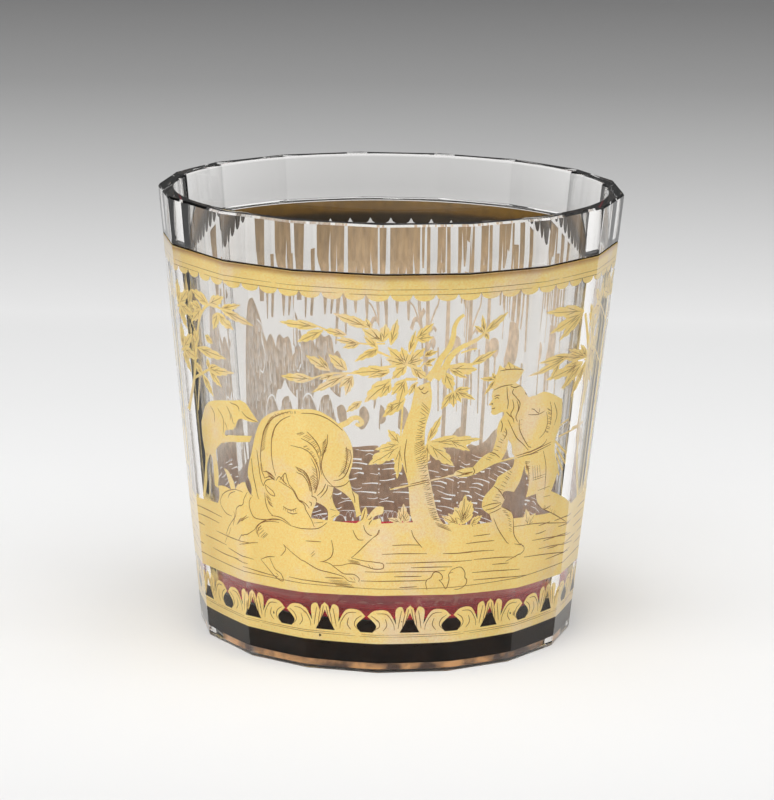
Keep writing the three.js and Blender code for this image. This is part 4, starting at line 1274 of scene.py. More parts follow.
def huntsman():
    """A huntsman in coat and plumed hat, lunging to the left with a spear. The face is a plain one."""
    hat = outline(
        (17.2, 50.6),
        [(17.5, 52.2), (18, 53.4), (18.4, 54.8)],
        [(19.3, 54.2), (20, 55.2)],
        [(21.1, 54.5), (22.3, 53.9), (23.3, 53.4)],
        [(22.7, 52.3), (22, 51.4), (21.2, 50.8)],
        [(20.3, 50.8), (18.6, 50.9)],
    )
    face = outline(
        (17.7, 51),
        [(17.4, 50.1), (17.3, 49.2)],
        [(17.5, 48.9)],
        [(17.2, 48.4), (16.8, 47.8)],
        [(17.4, 47.6), (17.3, 47.2)],
        [(17.5, 47), (17.4, 46.6), (17.6, 46.1), (18.3, 45.9)],
        [(19.6, 46.3), (20, 45.8), (20.2, 44.6)],
        [(22.6, 44.4)],
        [(23.2, 47.4), (22.4, 50.2)],
        [(20.2, 51.2)],
    )
    hair = outline(
        (20.1, 50.7),
        [(21.4, 51.3), (23.2, 50.3), (24.7, 48.3)],
        [(23.5, 47.5), (23.3, 44)],
        [(22.1, 43.6), (20.8, 45.3), (20.7, 46.3)],
    )
    coat = outline(
        (20.6, 45.8),
        [(21.7, 47.6), (23.1, 48.1), (25.3, 48.4), (27.9, 48.8), (30.2, 48.1), (33.5, 46.5)],
        [(33.9, 43.8), (33.6, 41.3), (32.7, 39.7)],
        [(33, 36.8), (34.6, 33.9), (34, 31.5), (33, 29.5)],
        [(30.7, 30.3), (28.7, 30.2), (25.9, 30.1)],
        [(26.3, 32.6), (25.3, 35.6), (25.4, 36.8)],
        [(23.7, 37.3), (22.3, 38.5)],
        [(22, 40.1), (21.1, 41.5), (20.3, 43.9)],
    )
    arm = outline(
        (20.4, 46.2),
        [(19.2, 44.7), (18.8, 43), (18.8, 41.8), (18.2, 39.3)],
        [(17.6, 39.2), (16.2, 38.5), (14.6, 36.9)],
        [(13.1, 36.9), (11.8, 36.5), (11.3, 35.9)],
        [(12.4, 35.3), (14.7, 35.5), (17.3, 36.5), (20.1, 37.5)],
        [(21, 39.2), (21.2, 41.2), (20.9, 42.8), (22.1, 43.6)],
    )
    breeches = outline(
        (22.9, 37.6),
        [(22.6, 36), (21.2, 35.3), (19.7, 34.6)],
        [(19, 33.1), (17.4, 31.5), (16.9, 30.3), (17.1, 29.1), (18.5, 28)],
        [(19.7, 28.3), (20.9, 29.2), (21.5, 30.3)],
        [(21, 31.4), (21.7, 31.8), (23.4, 31.4)],
        [(24.5, 33.2), (25, 35.1), (25.4, 36.9)],
    )
    stocking = outline(
        (18.5, 28.2),
        [(19.4, 26.2), (20.8, 24.2), (22.9, 22.2)],
        [(22.8, 19)],
        [(26.3, 18.5)],
        [(24.3, 23.4), (23.9, 25.8), (23.2, 27.7), (20.9, 29.2)],
    )
    back_leg = outline(
        (28.6, 30.7),
        [(29.2, 28.7), (31.3, 26.8)],
        [(34.2, 25.6), (39.6, 23)],
        [(41.2, 21.1)],
        [(46.4, 20.4)],
        [(43.5, 23.4), (39.3, 27), (33.3, 29.8)],
    )
    sash_and_sword = stems(
        ([(32.8, 39), (36.9, 36)], 0.4),
        ([(33.4, 37.7), (36.9, 34.2)], 0.4),
        ([(33.4, 36.7), (36.2, 33.1)], 0.4),
        ([(33.5, 35.4), (35.1, 32.4)], 0.4),
        ([(33.7, 41.7), (36.2, 42.4)], 0.3),
        ([(33.7, 39.7), (41.9, 40.6)], 0.3),
        ([(37.7, 40.4), (42.2, 40.7)], 0.6),
    )
    spear = stems(
        ([(0.4, 33.5), (3.5, 34.1), (6.7, 34.8), (10.3, 35.6), (14.5, 36.2)], 0.3),
        ([(10.3, 35.5), (14.6, 36.5), (20.1, 37.4), (22.7, 37.7), (26.6, 38.2), (30.1, 38.7)], 0.3),
    )
    buttons = [(23.6, 44.4), (23.5, 43.5), (23.6, 42.6), (23.9, 41.7), (24.5, 40.9), (25.2, 40)]
    lines = [
        [(17.6, 50.4), (19.2, 50.9), (21.2, 51)],
        [(18.5, 53.7), (20, 53.8), (21.7, 53.7), (23.3, 53.4)],
        [(19.2, 54.3), (19.9, 53.7)],
        [(20, 55.1), (20.6, 53.7)],
        [(21.1, 54.4), (21.5, 53.6)],
        [(17.8, 49.2), (18.3, 49.4), (18.8, 49.3)],
        [(17.9, 48.8), (18.3, 49), (18.7, 48.8)],
        [(17.2, 47.9), (17.5, 48), (17.6, 47.8)],
        [(17.4, 47.1), (17.8, 47.1), (18.1, 47.2)],
        [(20.1, 50.7), (20.3, 49.2), (20.6, 47.9), (20.5, 46.7)],
        [(20.8, 50.8), (21.7, 50.4), (22.7, 50.6), (23.6, 49.9), (24.2, 48.8)],
        [(21.5, 50.2), (21.3, 49.5), (22.2, 48.6)],
        [(21.4, 48.3), (21.8, 46.9), (21.3, 45.7), (22, 44.7)],
        [(22.3, 48.1), (22.8, 46.6), (22.4, 45.1), (22.8, 44.2)],
        [(22, 48.7), (23, 47.5), (22.8, 46)],
        [(20.4, 46.2), (21.1, 45.5), (21.8, 44.9), (22.1, 44.1)],
        [(20.8, 44.8), (21.9, 42.9), (23, 41.2), (24.4, 40), (25.7, 38.7)],
        [(23.2, 44.5), (23.3, 43), (24.2, 41.3), (25.3, 39.8), (26, 39)],
        [(24.6, 38.2), (26.5, 38.5), (28.6, 38.8), (29.8, 39.4), (30.1, 39.9)],
        [(24.6, 37.8), (26.9, 37.9), (28.1, 37.9)],
        [(25.6, 46.2), (27.1, 45.1), (27.3, 45.9)],
        [(29.3, 44.9), (29.9, 43), (29.3, 41.3), (28, 40.4)],
        [(25, 45.2), (27, 44.9), (28.8, 45.2)],
        [(30, 46.7), (30.7, 44.8), (30.7, 42.3)],
        [(31.2, 46.3), (32.4, 44), (31.9, 42.1)],
        [(17.7, 39.2), (18.6, 39), (19.8, 38.1)],
        [(19.3, 45), (19.8, 43.9), (19.6, 42.7)],
        [(20.4, 43.3), (20.8, 42.3), (20.3, 41.3)],
        [(11.8, 36.5), (12.9, 36), (14.7, 36.1)],
        [(12.4, 35.9), (14, 35.6)],
        [(14.6, 36.9), (15, 36.1), (14.7, 35.6)],
        [(25.4, 36.8), (26.3, 32.9), (25.9, 30.2)],
        [(26.9, 35.7), (27.5, 32.9)],
        [(27.5, 35.6), (28.1, 32.8)],
        [(28.2, 35.5), (28.8, 32.8)],
        [(28.8, 35.4), (29.5, 33)],
        [(27.3, 32.9), (30.6, 33)],
        [(27.2, 33.3), (30.8, 33.4)],
        [(29.5, 37.9), (30.8, 34.6), (31.1, 30.4)],
        [(29, 30.7), (32.7, 30.9)],
        [(19, 33), (20, 32.3), (21, 31.1), (21.5, 30.3)],
        [(17.1, 29.5), (18.8, 29.8), (20.8, 29.8)],
        [(17.7, 28.8), (19.4, 29), (20.9, 29.6)],
        [(18.5, 28.1), (20.1, 28.5), (21.6, 29.2)],
        [(18.9, 30.5), (20.2, 30.1)],
        [(19.5, 27.1), (20.7, 24.9), (22.5, 22.6), (23.2, 22)],
        [(20.9, 29.1), (23.2, 27.7), (23.9, 25.8), (24.3, 23.4), (26.3, 21)],
        [(24.5, 21.8), (26.3, 21.2), (26.7, 20.2), (24.9, 19.4), (22.9, 18.8)],
        [(29.4, 28.4), (31.3, 26.9), (33.5, 27.1)],
        [(30.9, 29.2), (33, 29.1)],
        [(31.3, 26.9), (34.2, 25.6), (39.6, 23)],
        *[[(u - 0.2, z), (u + 0.2, z + 0.1)] for u, z in buttons],
        [(0.5, 33.65), (3.5, 34.3), (6.7, 35), (10.3, 35.75)],
        [(0.5, 33.35), (3.5, 33.95), (6.7, 34.65), (10.3, 35.35), (14.5, 36)],
        [(22.4, 37.9), (26.6, 38.4), (31.5, 39.1)],
        [(22.4, 37.5), (26.6, 38), (31.5, 38.7)],
        *hatch([(29.4, 45.6), (30, 43.4), (29.4, 41.4)], [(30.5, 45), (31, 43), (30.4, 41)], 12),
        *hatch([(21.8, 35.6), (20.6, 33.4), (19.4, 31)], [(22.6, 35), (21.6, 32.8), (20.4, 30.8)], 10),
        *hatch([(21.2, 28.3), (22.6, 26.6), (23, 24.4)], [(22.2, 28.1), (23.3, 26.2), (23.7, 24.2)], 10),
        *hatch([(20.2, 42.8), (18.6, 40), (17, 38.2)], [(20.8, 42.2), (19.6, 39.6), (18, 37.8)], 10),
        *hatch([(25.2, 36.6), (25.6, 33.6), (25.2, 30.8)], [(26, 36.6), (26.5, 33.6), (26, 30.8)], 12),
        *hatch([(31.4, 26.8), (33, 26), (35, 25)], [(31.6, 27.6), (33.4, 26.8), (35.4, 25.8)], 8),
    ]
    shapes = [hat, face, hair, coat, arm, breeches, stocking, back_leg, *sash_and_sword, *spear]
    return shapes, lines


def horse():
    """A horse's body and legs beside the boar."""
    body = outline(
        (-37.4, 43.4),
        [(-35.6, 44.7), (-32.9, 45.5), (-29.4, 46.2), (-26.7, 46.8)],
        [(-25.3, 46.3), (-24.1, 44.8), (-22.9, 43.4)],
        [(-24.5, 43.2), (-27.2, 43.3), (-28.3, 41.2)],
        [(-30.8, 40.5), (-31.2, 39.6)],
        [(-27.5, 40.3), (-24.5, 40.7)],
        [(-25.1, 39.5)],
        [(-29.6, 38.7), (-32.6, 37.8)],
        [(-34.6, 36.2), (-34.7, 34.7), (-34.4, 32), (-35.1, 29.1)],
        [(-36.2, 29.4)],
        [(-36.1, 31.7), (-36.1, 34.2), (-37, 35)],
        [(-38.5, 32.5), (-39, 29.6), (-40.4, 26.5)],
        [(-41.4, 26.3)],
        [(-39.9, 30.4), (-38.8, 34.2), (-39.3, 37.3), (-39.2, 40.3)],
    )
    lines = [
        [(-32.9, 44.1), (-31.5, 42.8), (-31.3, 41.5), (-31.7, 39.8)],
        [(-30.9, 42), (-30.3, 41), (-30.8, 40)],
        [(-28.7, 44), (-28.4, 42.7), (-27.9, 41.9)],
        [(-29.9, 45.1), (-29, 43.9), (-29.1, 42.8)],
        [(-26.4, 44.8), (-25.3, 43.9), (-23.1, 43.4)],
        [(-38.5, 34.8), (-36.5, 33.8)],
        [(-30.9, 39.6), (-27.5, 40.5), (-25.3, 40.7)],
        [(-35.3, 44), (-34.2, 42.9), (-34.3, 41.3)],
        [(-28.8, 46), (-27.3, 45.6), (-27, 44.7)],
    ]
    return [body], lines


def left_tree():
    """A tree with two boughs at the left of the boar, behind the horse."""
    leaves = fans(
        ((-33, 62.6), 2.2, (-38.5, 64.3), (-28.4, 64.8)),
        ((-29.4, 62.5), 1.3, (-25.2, 63.9)),
        ((-29.4, 62.5), 1.6, (-22.7, 60.5)),
        ((-30.6, 61.6), 2, (-27, 59.2), (-32.3, 58.3)),
        ((-35.7, 61.4), 2, (-39.3, 58.5), (-39.1, 61.8)),
        ((-35.1, 56.7), 1.5, (-32.7, 55.7)),
        ((-38.2, 53.9), 1.9, (-28.9, 53.7)),
        ((-38, 54.7), 2, (-38.7, 57.5)),
        ((-34.7, 50.6), 1.7, (-27.5, 51.5), (-31, 48.2)),
        ((-37.1, 49.4), 1.7, (-33.9, 45.9), (-39.6, 51.1)),
        ((-34.7, 50.8), 1.3, (-35, 52.7), (-31.7, 51.9)),
    )
    boughs = [
        stem([
            (-43.9, 41.6), (-40.4, 48), (-38.6, 53.8), (-36.3, 59.8), (-33, 62.6), (-29.4, 62.5),
        ], 0.9, 0.4),
        stem([(-40.4, 48), (-34.7, 50.7)], 0.5),
    ]
    return [*boughs, *leaf_shapes(leaves)], leaf_veins(leaves)


def right_tree():
    """A tall tree at the right of the huntsman."""
    leaves = fans(
        ((34.4, 54.3), 1.5, (24.2, 52.1), (25.9, 54.2)),
        ((31.6, 53.5), 1.5, (29.4, 50.5)),
        ((37, 53), 1.9, (33.4, 48.1), (33.7, 50.9)),
        ((40, 52.5), 1.7, (36, 46.3), (41.1, 44), (44.2, 47.3)),
        ((39.9, 53), 1.5, (37.4, 55.7), (33.7, 55.4), (29.1, 54.9)),
        ((37.2, 61.8), 2.2, (30.7, 57.4), (28, 59.1), (26.5, 63.1)),
        ((41.8, 56), 2.2, (39.2, 62.8), (40.8, 60.4)),
        ((41.4, 55.7), 2.2, (40.4, 49.8), (45.1, 48.1), (41.4, 43.8)),
        ((38.8, 52.3), 2.2, (28.2, 50.8), (32.8, 48.4)),
    )
    boughs = stems(
        ([(47.3, 23.3), (40.8, 35.2), (40.2, 45.6), (40.5, 53.1), (37.7, 61.2)], 1.3, 0.6),
    )
    return [*boughs, *leaf_shapes(leaves)], leaf_veins(leaves)


def slim_tree(u, scale, mirrored):
    """A slim tree with sprays of leaves on short stems, for the sides."""
    trunk = outline(
        (-1.8, -2),
        [(-1, 4), (-0.6, 20), (0.2, 34)],
        [(0.6, 34)],
        [(1, 20), (0.8, 4), (2, -2)],
    )
    tips = [(-6, 31.5), (6, 33), (-5.5, 23), (6, 25.5), (0.4, 33.6)]
    leaves = []
    for x, z in tips:
        lean = 0 if abs(x) < 1 else math.copysign(75, x)
        leaves += spray((x, z), 90 - lean, 5.4, 4)
    stalks = stems(*[([(0, z - 4), (x, z)], 0.4) for x, z in tips[:-1]])
    bark = hatch([(0, -1), (0.1, 10), (0.2, 33)], [(1, -1), (0.8, 10), (0.5, 33)], 44)
    shapes = [trunk, *leaf_shapes(leaves), *stalks]
    lines = [*bark, *leaf_veins(leaves)]
    return placed_motif(shapes, lines, u, 26, scale, mirrored)


def side_bush(u, height):
    """A clump of upright leaves."""
    leaves = spray((0, -0.4), 92, height + 0.4, 5)
    return placed_motif(leaf_shapes(leaves), leaf_veins(leaves), u, 25.6)


def coursing_hound(u):
    """A running hound, head to the left."""
    body = outline(
        (-9.4, 6.4),
        [(-7.6, 7.4), (-6.4, 8.6)],
        [(-5.6, 7.4)],
        [(-3, 6.6), (1, 7), (4.6, 6.6)],
        [(6.8, 7.6), (9, 10.2)],
        [(9.5, 9.9)],
        [(7.8, 6.6), (6.6, 4.6)],
        [(8, 2.6), (9.8, 0.4)],
        [(8.6, 0.2)],
        [(6, 2.6), (3.8, 3.8)],
        [(1, 4.2), (-2.4, 3.4)],
        [(-5.6, 1.6), (-8.4, 0.8)],
        [(-8.8, 1.7)],
        [(-6.4, 3), (-6.4, 5)],
    )
    hind_leg = stem([(5.6, 5), (5.4, 2.6), (6.6, 0), (5.4, -1)], 0.9)
    fore_leg = stem([(-4.6, 4.4), (-4.8, 2), (-6.2, 0), (-5.6, -1)], 0.9)
    lines = [
        [(-8.6, 6.4), (-7.6, 6.2)],
        [(-7.2, 7), (-6.8, 6.8)],
        [(-6.2, 8), (-5.9, 7), (-5.2, 6.8)],
        [(-4.6, 6.4), (-4, 5), (-4.6, 3.6)],
        [(3.6, 6.2), (3.2, 5), (4.2, 4)],
        [(5.4, 6.4), (6.2, 5.4), (6, 4.2)],
        *hatch([(-3.6, 5), (0, 5), (3, 4.8)], [(-3.2, 4), (0.2, 4.4), (3, 4.2)], 18),
    ]
    return placed_motif([body, hind_leg, fore_leg], lines, u, 25.6)


def stag(u, scale):
    """A stag leaping to the right, with antlers."""
    body = outline(
        (-10.4, 14.6),
        [(-8.4, 16.2), (-6.8, 16)],
        [(-6.6, 12.4), (-4, 11), (1, 11), (5.6, 11.4)],
        [(7.6, 12.6)],
        [(7.2, 10), (7.4, 7.6)],
        [(9, 4.4), (10.4, -1)],
        [(9.4, -1)],
        [(7.4, 4.2), (5, 6.6)],
        [(1, 7), (-3, 6.6)],
        [(-6.6, 4.6), (-10.4, 4.4)],
        [(-10.4, 5.4)],
        [(-7.4, 6), (-6.8, 8.8), (-8.4, 13.4)],
    )
    legs = stems(
        ([(-4.6, 8), (-5, 4), (-7.2, 2.4), (-7.4, -1)], 0.8),
        ([(5.4, 8.4), (5.8, 4.6), (4.6, 2.6), (5.2, -1)], 0.9),
    )
    antlers = stems(
        ([(-7.6, 15.8), (-6.6, 18.4), (-8, 21.4)], 0.4),
        ([(-6.9, 17.6), (-4.6, 18.8), (-4.4, 20.8)], 0.4),
        ([(-7.1, 19), (-9.4, 19.4)], 0.4),
    )
    lines = [
        [(-9.4, 14.6), (-8.6, 14.4)],
        [(-8.6, 15.4), (-8.2, 15.2)],
        [(-7.6, 13.6), (-6.4, 10.6), (-5.6, 8.4)],
        [(-5, 10.4), (-4, 8.6), (-4.8, 7)],
        [(4, 10.6), (3.4, 8.8), (4.6, 7.2)],
        [(5.6, 10.6), (6.6, 9), (6.4, 7)],
        *hatch([(-3.4, 8.4), (0, 8.6), (3, 8.2)], [(-3, 7), (0.2, 7.4), (3, 7.2)], 20),
    ]
    return placed_motif([body, *legs, *antlers], lines, u, 25.4, scale, True)


def canopy():
    """Foliage that hangs from the upper border at the back, with trunks and a palm among it, drawn
    from the middle of the back. What starts near the border is drawn a little wider."""
    near_border, widening = 63, 1.2
    hanging = [
        ([(24.6, 66.6), (24.1, 61), (24.6, 53.6)], 4.3, 2),
        ([(21.5, 56.2), (22.2, 50.1)], 1.3, 0.4),
        ([(18.6, 62), (18.8, 55.9), (19.8, 50.2)], 1.6, 1),
        ([(14.2, 66.6), (14.7, 61.5), (13.9, 57.5), (14.4, 50.1)], 5.4, 0.5),
        ([(10.9, 66.6), (10.9, 60), (11.3, 54.1), (12.1, 50.1)], 2.4, 0.5),
        ([(8.5, 66.6), (8.4, 57.3), (9.4, 52.1), (10.4, 44.3)], 2.6, 0.5),
        ([(7.8, 57.2), (6.9, 52), (6.6, 46.1)], 2, 0.5),
        ([(4.1, 66.6), (4.1, 61.7), (4.4, 57.8), (5.3, 55.2)], 3.4, 2),
        ([(1.5, 65.6), (1.5, 58.5), (3, 53.3), (3, 50)], 3, 0.4),
        ([(-1.2, 66.6), (-0.8, 61.1), (-1.1, 57.2), (-0.9, 52.6), (-1, 48.7)], 2.8, 0.6),
        ([(-3, 66.6), (-3.2, 61.8), (-3.6, 58.3), (-3.6, 56)], 2.6, 1),
        ([(-5.4, 66), (-5.5, 61.9), (-5.6, 58.7)], 1.2, 0.5),
        ([(-12.4, 66.6), (-12.6, 62.4), (-12.8, 59.4), (-13.1, 58.2)], 1.6, 1),
        ([(-11.1, 64.6), (-11.2, 62.2), (-11.1, 58)], 1.2, 1.2),
        ([(-18.9, 66.6), (-18.7, 62.9), (-18.7, 58.4)], 1.6, 1),
        ([(-20.2, 66.6), (-20.7, 63.2), (-20.6, 59.9)], 3, 0.7),
        ([(-22.4, 66.6), (-21.9, 63)], 2.6, 1.4),
        ([(-19.8, 56.6), (-20.1, 54), (-20.1, 52.9)], 1.3, 0.4),
        ([(-21.9, 59), (-21.8, 54.2), (-22.3, 52.1)], 2, 0.7),
        ([(-23.2, 57), (-23.7, 51.9)], 0.7, 0.3),
        ([(-24.4, 66.6), (-24.5, 56.1), (-25, 51)], 0.9, 0.3),
        ([(-22.3, 52.1), (-22.3, 49.5), (-22.3, 46.7)], 0.4, 0.3),
        ([(-26, 63.9), (-26.9, 55.4), (-26.7, 50.6)], 2, 1.7),
        ([(-29, 66.6), (-29.4, 56.2), (-29.7, 51.5), (-29.2, 48)], 2.2, 1.1),
        ([(-31.8, 57.7), (-32, 54.1), (-31.7, 49.7)], 1.3, 0.7),
        ([(-34.1, 66.6), (-34.3, 58.1), (-34.9, 52.4), (-35.7, 46.1)], 1.8, 0.9),
        ([(-9.2, 39.3), (-9.6, 36.4), (-9.8, 33.2)], 1.1, 0.3),
        ([(-12.1, 44), (-12.8, 35.2), (-13.1, 31.9)], 0.7, 0.5),
        ([(-16.3, 43), (-17.2, 36.7), (-17.5, 33.7)], 1.1, 0.3),
        ([(-19.4, 43), (-20, 37.1), (-20.5, 32.5)], 0.9, 0.3),
        ([(-4.2, 36.1), (-4, 33.5), (-3.7, 31.9)], 1.3, 0.4),
        ([(-27, 42.4), (-27.5, 40.4), (-28.1, 38.3)], 2.2, 1.3),
        ([(-24.8, 43.6), (-26.1, 34.7), (-26.4, 28.2)], 2, 1.3),
        ([(-34.3, 43.7), (-34.7, 39.5), (-35.4, 37.4)], 1.3, 0.9),
    ]
    trunks = [
        ([(-7.2, 66.6), (-7.7, 52.5), (-7.9, 44.6), (-7.5, 25)], 1.1, 1.6),
        ([(-14.2, 66.6), (-15.2, 53), (-15.4, 45.2), (-15.5, 25)], 1.2, 1.6),
        ([(-8.6, 46), (-8.9, 48.2), (-10.5, 50.9), (-11.7, 53), (-12, 60)], 0.6, 0.5),
    ]
    palm = [
        ([
            (-7.4, 40), (-6.2, 43.9), (-5.9, 46.9), (-4.8, 48.4), (-3.7, 50.1), (-2.4, 51.6), (-0.5, 52.4),
        ], 0.7, 0.3),
        ([(-5.9, 46), (-4.8, 49.7), (-4.3, 52.5), (-4.5, 57)], 0.7, 0.3),
        ([(-5.9, 47), (-5.2, 50.6), (-4.9, 52.5), (-5.5, 57)], 0.6, 0.4),
        ([(-5.5, 47.6), (-4.4, 48.8), (-3.1, 48.8), (-2.1, 47)], 0.7, 1.2),
        ([(-5.2, 48.8), (-5.6, 49.7), (-6.6, 50.9)], 0.8, 1.2),
        ([(-7.9, 46), (-9.1, 46.9), (-10.2, 47.6), (-11.1, 47)], 0.4, 0.8),
        ([(-8, 43), (-9.4, 44.7), (-9.9, 45.6), (-10.6, 44.8), (-9.9, 43.7)], 0.8, 1.1),
    ]
    clumps = [
        [(-16.8, 46.3), (-18.9, 46.7), (-20.6, 46.1), (-21, 44.2), (-19.6, 42.9), (-17.7, 43.3), (-15, 44)],
        [
            (-25.5, 50.4), (-28.6, 50.5), (-30.9, 49.1), (-31.1, 45.3), (-29.6, 42.9), (-26.7, 42.4),
            (-24, 42.8), (-25.2, 46.5),
        ],
        [(10.4, 32.3), (8.4, 32.7), (7, 31.7), (6.7, 29.7), (8.7, 29.1), (10.1, 30.5)],
        [(1.7, 31.6), (0.1, 32.3), (-1.6, 31.3), (-1.9, 29.7), (0, 28), (2, 28.3)],
    ]
    shapes = []
    for points, width, end_width in hanging:
        top = points[0][1]
        shapes.append(stem(points, width * widening if top > near_border else width, end_width))
    shapes += stems(*trunks, *palm)
    shapes += [through([*points, points[0]])[:-1] for points in clumps]
    return placed(shapes, BACK, 0), []


NEAR_HILL_CRESTS = [
    [(26, 30.7), (24.9, 34.2), (23.8, 35.3), (22.2, 35.7), (20.5, 34.9), (18.2, 31.8)],
    [(18.3, 31.1), (17.4, 33.6), (16.3, 34.7), (14.9, 35), (13.1, 34.6), (11, 30.5)],
]


def hills():
    """Rounded hills at the back, drawn from the middle of the back."""
    far_hill = outline(
        (22.7, 24),
        [(22.5, 34), (22.5, 43.3), (22.8, 45.3), (24.6, 47.4), (25.4, 49.5), (27.5, 52.4), (29.8, 54.8)],
        [(33, 54), (36, 47), (38.4, 36), (39.6, 24)],
    )
    tall_hill = outline(
        (21.5, 24),
        [(22.7, 37), (22.7, 42), (23.5, 46), (24.8, 47.3), (25.7, 46.3), (25.9, 41), (26.3, 24)],
    )
    twin_hill = outline(
        (23.5, 24),
        [(22.8, 36), (23.2, 44.7), (22.4, 46.6), (21, 47.1), (19.6, 45.9), (18.6, 44.2)],
        [(18, 46.1), (16.6, 46.7), (14.9, 45.9), (12.8, 46.1), (11.7, 44.7), (11.2, 42.4)],
        [(9.9, 43), (8.6, 41.9), (8, 39.6), (9, 34.1)],
        [(11, 34.8), (13.4, 36.3), (15.1, 38), (16.9, 36.5), (18.8, 36.4), (20, 35)],
        [(21, 24)],
    )
    first_near, second_near = NEAR_HILL_CRESTS
    near_hills = [outline((27, 24), [*first_near, (17, 24)]), outline((19, 24), [*second_near, (10, 24)])]
    slope = outline(
        (-8, 24),
        [(-10.2, 25.8), (-13.8, 25.8), (-18.4, 27.4), (-21.7, 29.4), (-26, 30), (-33, 24)],
    )
    return placed([far_hill, tall_hill, twin_hill, *near_hills, slope], BACK, 0), []


def hill_slits():
    """Upright hatching scratched through the leaf of the hills, which lets light through but leaves
    their tops whole, and the bared rims of the near hills."""
    left, right, bottom, top = 9.4, 39, 27, 54
    clear_above, clear_beside = 0.7, 0.3
    shortening, shortest = 0.4, 0.8
    rim_width, tip_width = 0.35, 0.07
    far_rim = [(27.7, 50.5), (25.3, 48.9), (25.9, 46.3), (24.5, 43.6), (25.9, 40.5), (27.6, 41)]
    shapes, _ = hills()

    def on_hill(u, z):
        return any(encloses(shape, (BACK + u, z)) for shape in shapes)

    def under_top(u, z):
        return all(on_hill(u + side * clear_beside, z + clear_above) for side in (-1, 1))

    chance = random.Random(3)
    slits = stems(*[(rim, rim_width) for rim in [*NEAR_HILL_CRESTS, far_rim]])
    u = left
    while u < right:
        z = bottom + chance.uniform(0, 3)
        while z < top:
            length = chance.uniform(2, 7)
            lean = chance.uniform(-0.15, 0.15)
            width = chance.uniform(0.12, 0.34)
            end = z + length
            while end > z and not under_top(u, end):
                end -= shortening
            if end > z + shortest and on_hill(u, z):
                slits.append(stem([(u, z), (u + lean, end)], width, tip_width))
            z += length + chance.uniform(0.4, 1.2)
        u += chance.uniform(0.34, 0.56)
    return placed(slits, BACK, 0)


def ground_slits():
    """Level streaks rubbed through the ground at the back."""
    left, right = -34, 36
    rows, lowest, spacing = 14, 12.2, 0.9
    tip_width = 0.08
    chance = random.Random(4)
    slits = []
    for row in range(rows):
        z = lowest + row * spacing
        u = left + chance.uniform(0, 6)
        while u < right:
            length = chance.uniform(3, 9)
            rise = chance.uniform(-0.3, 0.3)
            points = [(u, z), (u + length / 2, z + rise), (u + length, z + chance.uniform(-0.2, 0.2))]
            slits.append(stem(points, chance.uniform(0.12, 0.42), tip_width))
            u += length + chance.uniform(2, 9)
    return placed(slits, BACK, 0)


def ground_strokes():
    """Broken lines along the ground, two outlined tufts, and a long line near the lower edge. At the
    front the lines are drawn, and elsewhere they fall by chance."""
    lines = [
        [(-0.8, 21.7), (2.6, 21.8), (7.2, 21.7)],
        [(10.1, 21.6), (15.5, 21.4)],
        [(-0.1, 20.1), (5, 20.1), (9.7, 20.1), (15.6, 19.9)],
        [(-3.7, 18.4), (2.7, 18.5), (7.4, 18.4), (10.7, 18.5)],
        [(-4.4, 16.7), (0.5, 16.8), (6.2, 16.8), (7.4, 16.9)],
        [(24.1, 25), (26.9, 24.9), (30.9, 24.4), (34.6, 23.7), (40.7, 22.6)],
        [(28.9, 21.6), (35.2, 21), (43.3, 20)],
        [(31.2, 19.6), (36.7, 19.2), (45.3, 18)],
        [(14.2, 23.1), (17, 23.1), (19.9, 23)],
        [(11.6, 21.5), (15.7, 21.5), (20.1, 21.2)],
        [(27, 18.9), (33.3, 18.2), (42.9, 16.8)],
        [
            (7.5, 15), (7.2, 16.2), (7.4, 16.9), (8.1, 17.3), (8.6, 18.2), (9.5, 18.2), (10.2, 17.5),
            (10.1, 16.8), (9.6, 16.8),
        ],
        [(9.6, 16.8), (10.3, 16.1), (11, 15.1), (11.5, 16.7), (11.4, 17.8), (12.1, 18.1)],
        [
            (11.4, 17.8), (12.1, 18.7), (13.4, 18.9), (14.3, 17.9), (14.4, 16.9), (14.8, 16.4),
            (14.6, 15.5), (13.4, 14.9), (12.4, 14.9),
        ],
        [(-28.5, 16.2), (-24, 15.9), (-20.5, 15.7)],
        [(-18, 16.1), (-12, 15.9), (-6, 15.8)],
        [(-14.5, 23.2), (-11.6, 23.3)],
        [(1, 23.3), (3.4, 23.4), (6, 23.3)],
        [(15.6, 24.3), (19, 24.3)],
        [(2.4, 15.6), (5.6, 15.7)],
        [(15.8, 17.6), (20, 17.4), (26, 16.9)],
        [(16.2, 16.2), (22, 15.9), (28, 15.4)],
        [(16, 20), (21.5, 19.7), (25.2, 19.3)],
        [(-33, 18.6), (-29.5, 18.2), (-26, 18)],
        [(-31.5, 17.2), (-27.5, 16.9)],
        [(20, 18.6), (23.6, 18.4)],
        [(4.4, 19.2), (8.4, 19.2), (12, 19.1)],
        [(1.4, 17.6), (4, 17.6), (6.4, 17.6)],
    ]
    lowest, *others = 15.3, 17.2, 19, 20.8, 22.6, 24
    drawn_front = (-31, 30)
    chance = random.Random(5)
    for z in (lowest, *others):
        u = 0.0
        while u < ARC_LENGTH:
            length = ARC_LENGTH if z == lowest else chance.uniform(3, 11)
            middle = (u + length / 2 + BACK) % ARC_LENGTH - BACK
            if z == lowest or not drawn_front[0] < middle < drawn_front[1]:
                lines.append([(u + length * s, z + chance.uniform(-0.1, 0.1)) for s in (0, 0.5, 1)])
            u += length + chance.uniform(1, 5)
    return lines


# The frieze

SHEET_GAP = 0.1
FACET_STATIONS = 3
# The sheets with their first and last stations
FRIEZE_SHEETS = {"front": (-16, 15), "right": (15, 21), "back": (21, 35)}
FRIEZE_TOP = 66.4
FRIEZE_BOTTOM = 10
BACK_DROP = 1.4
# How far the ground runs past a sheet before it is cut
OVERLAP = 3
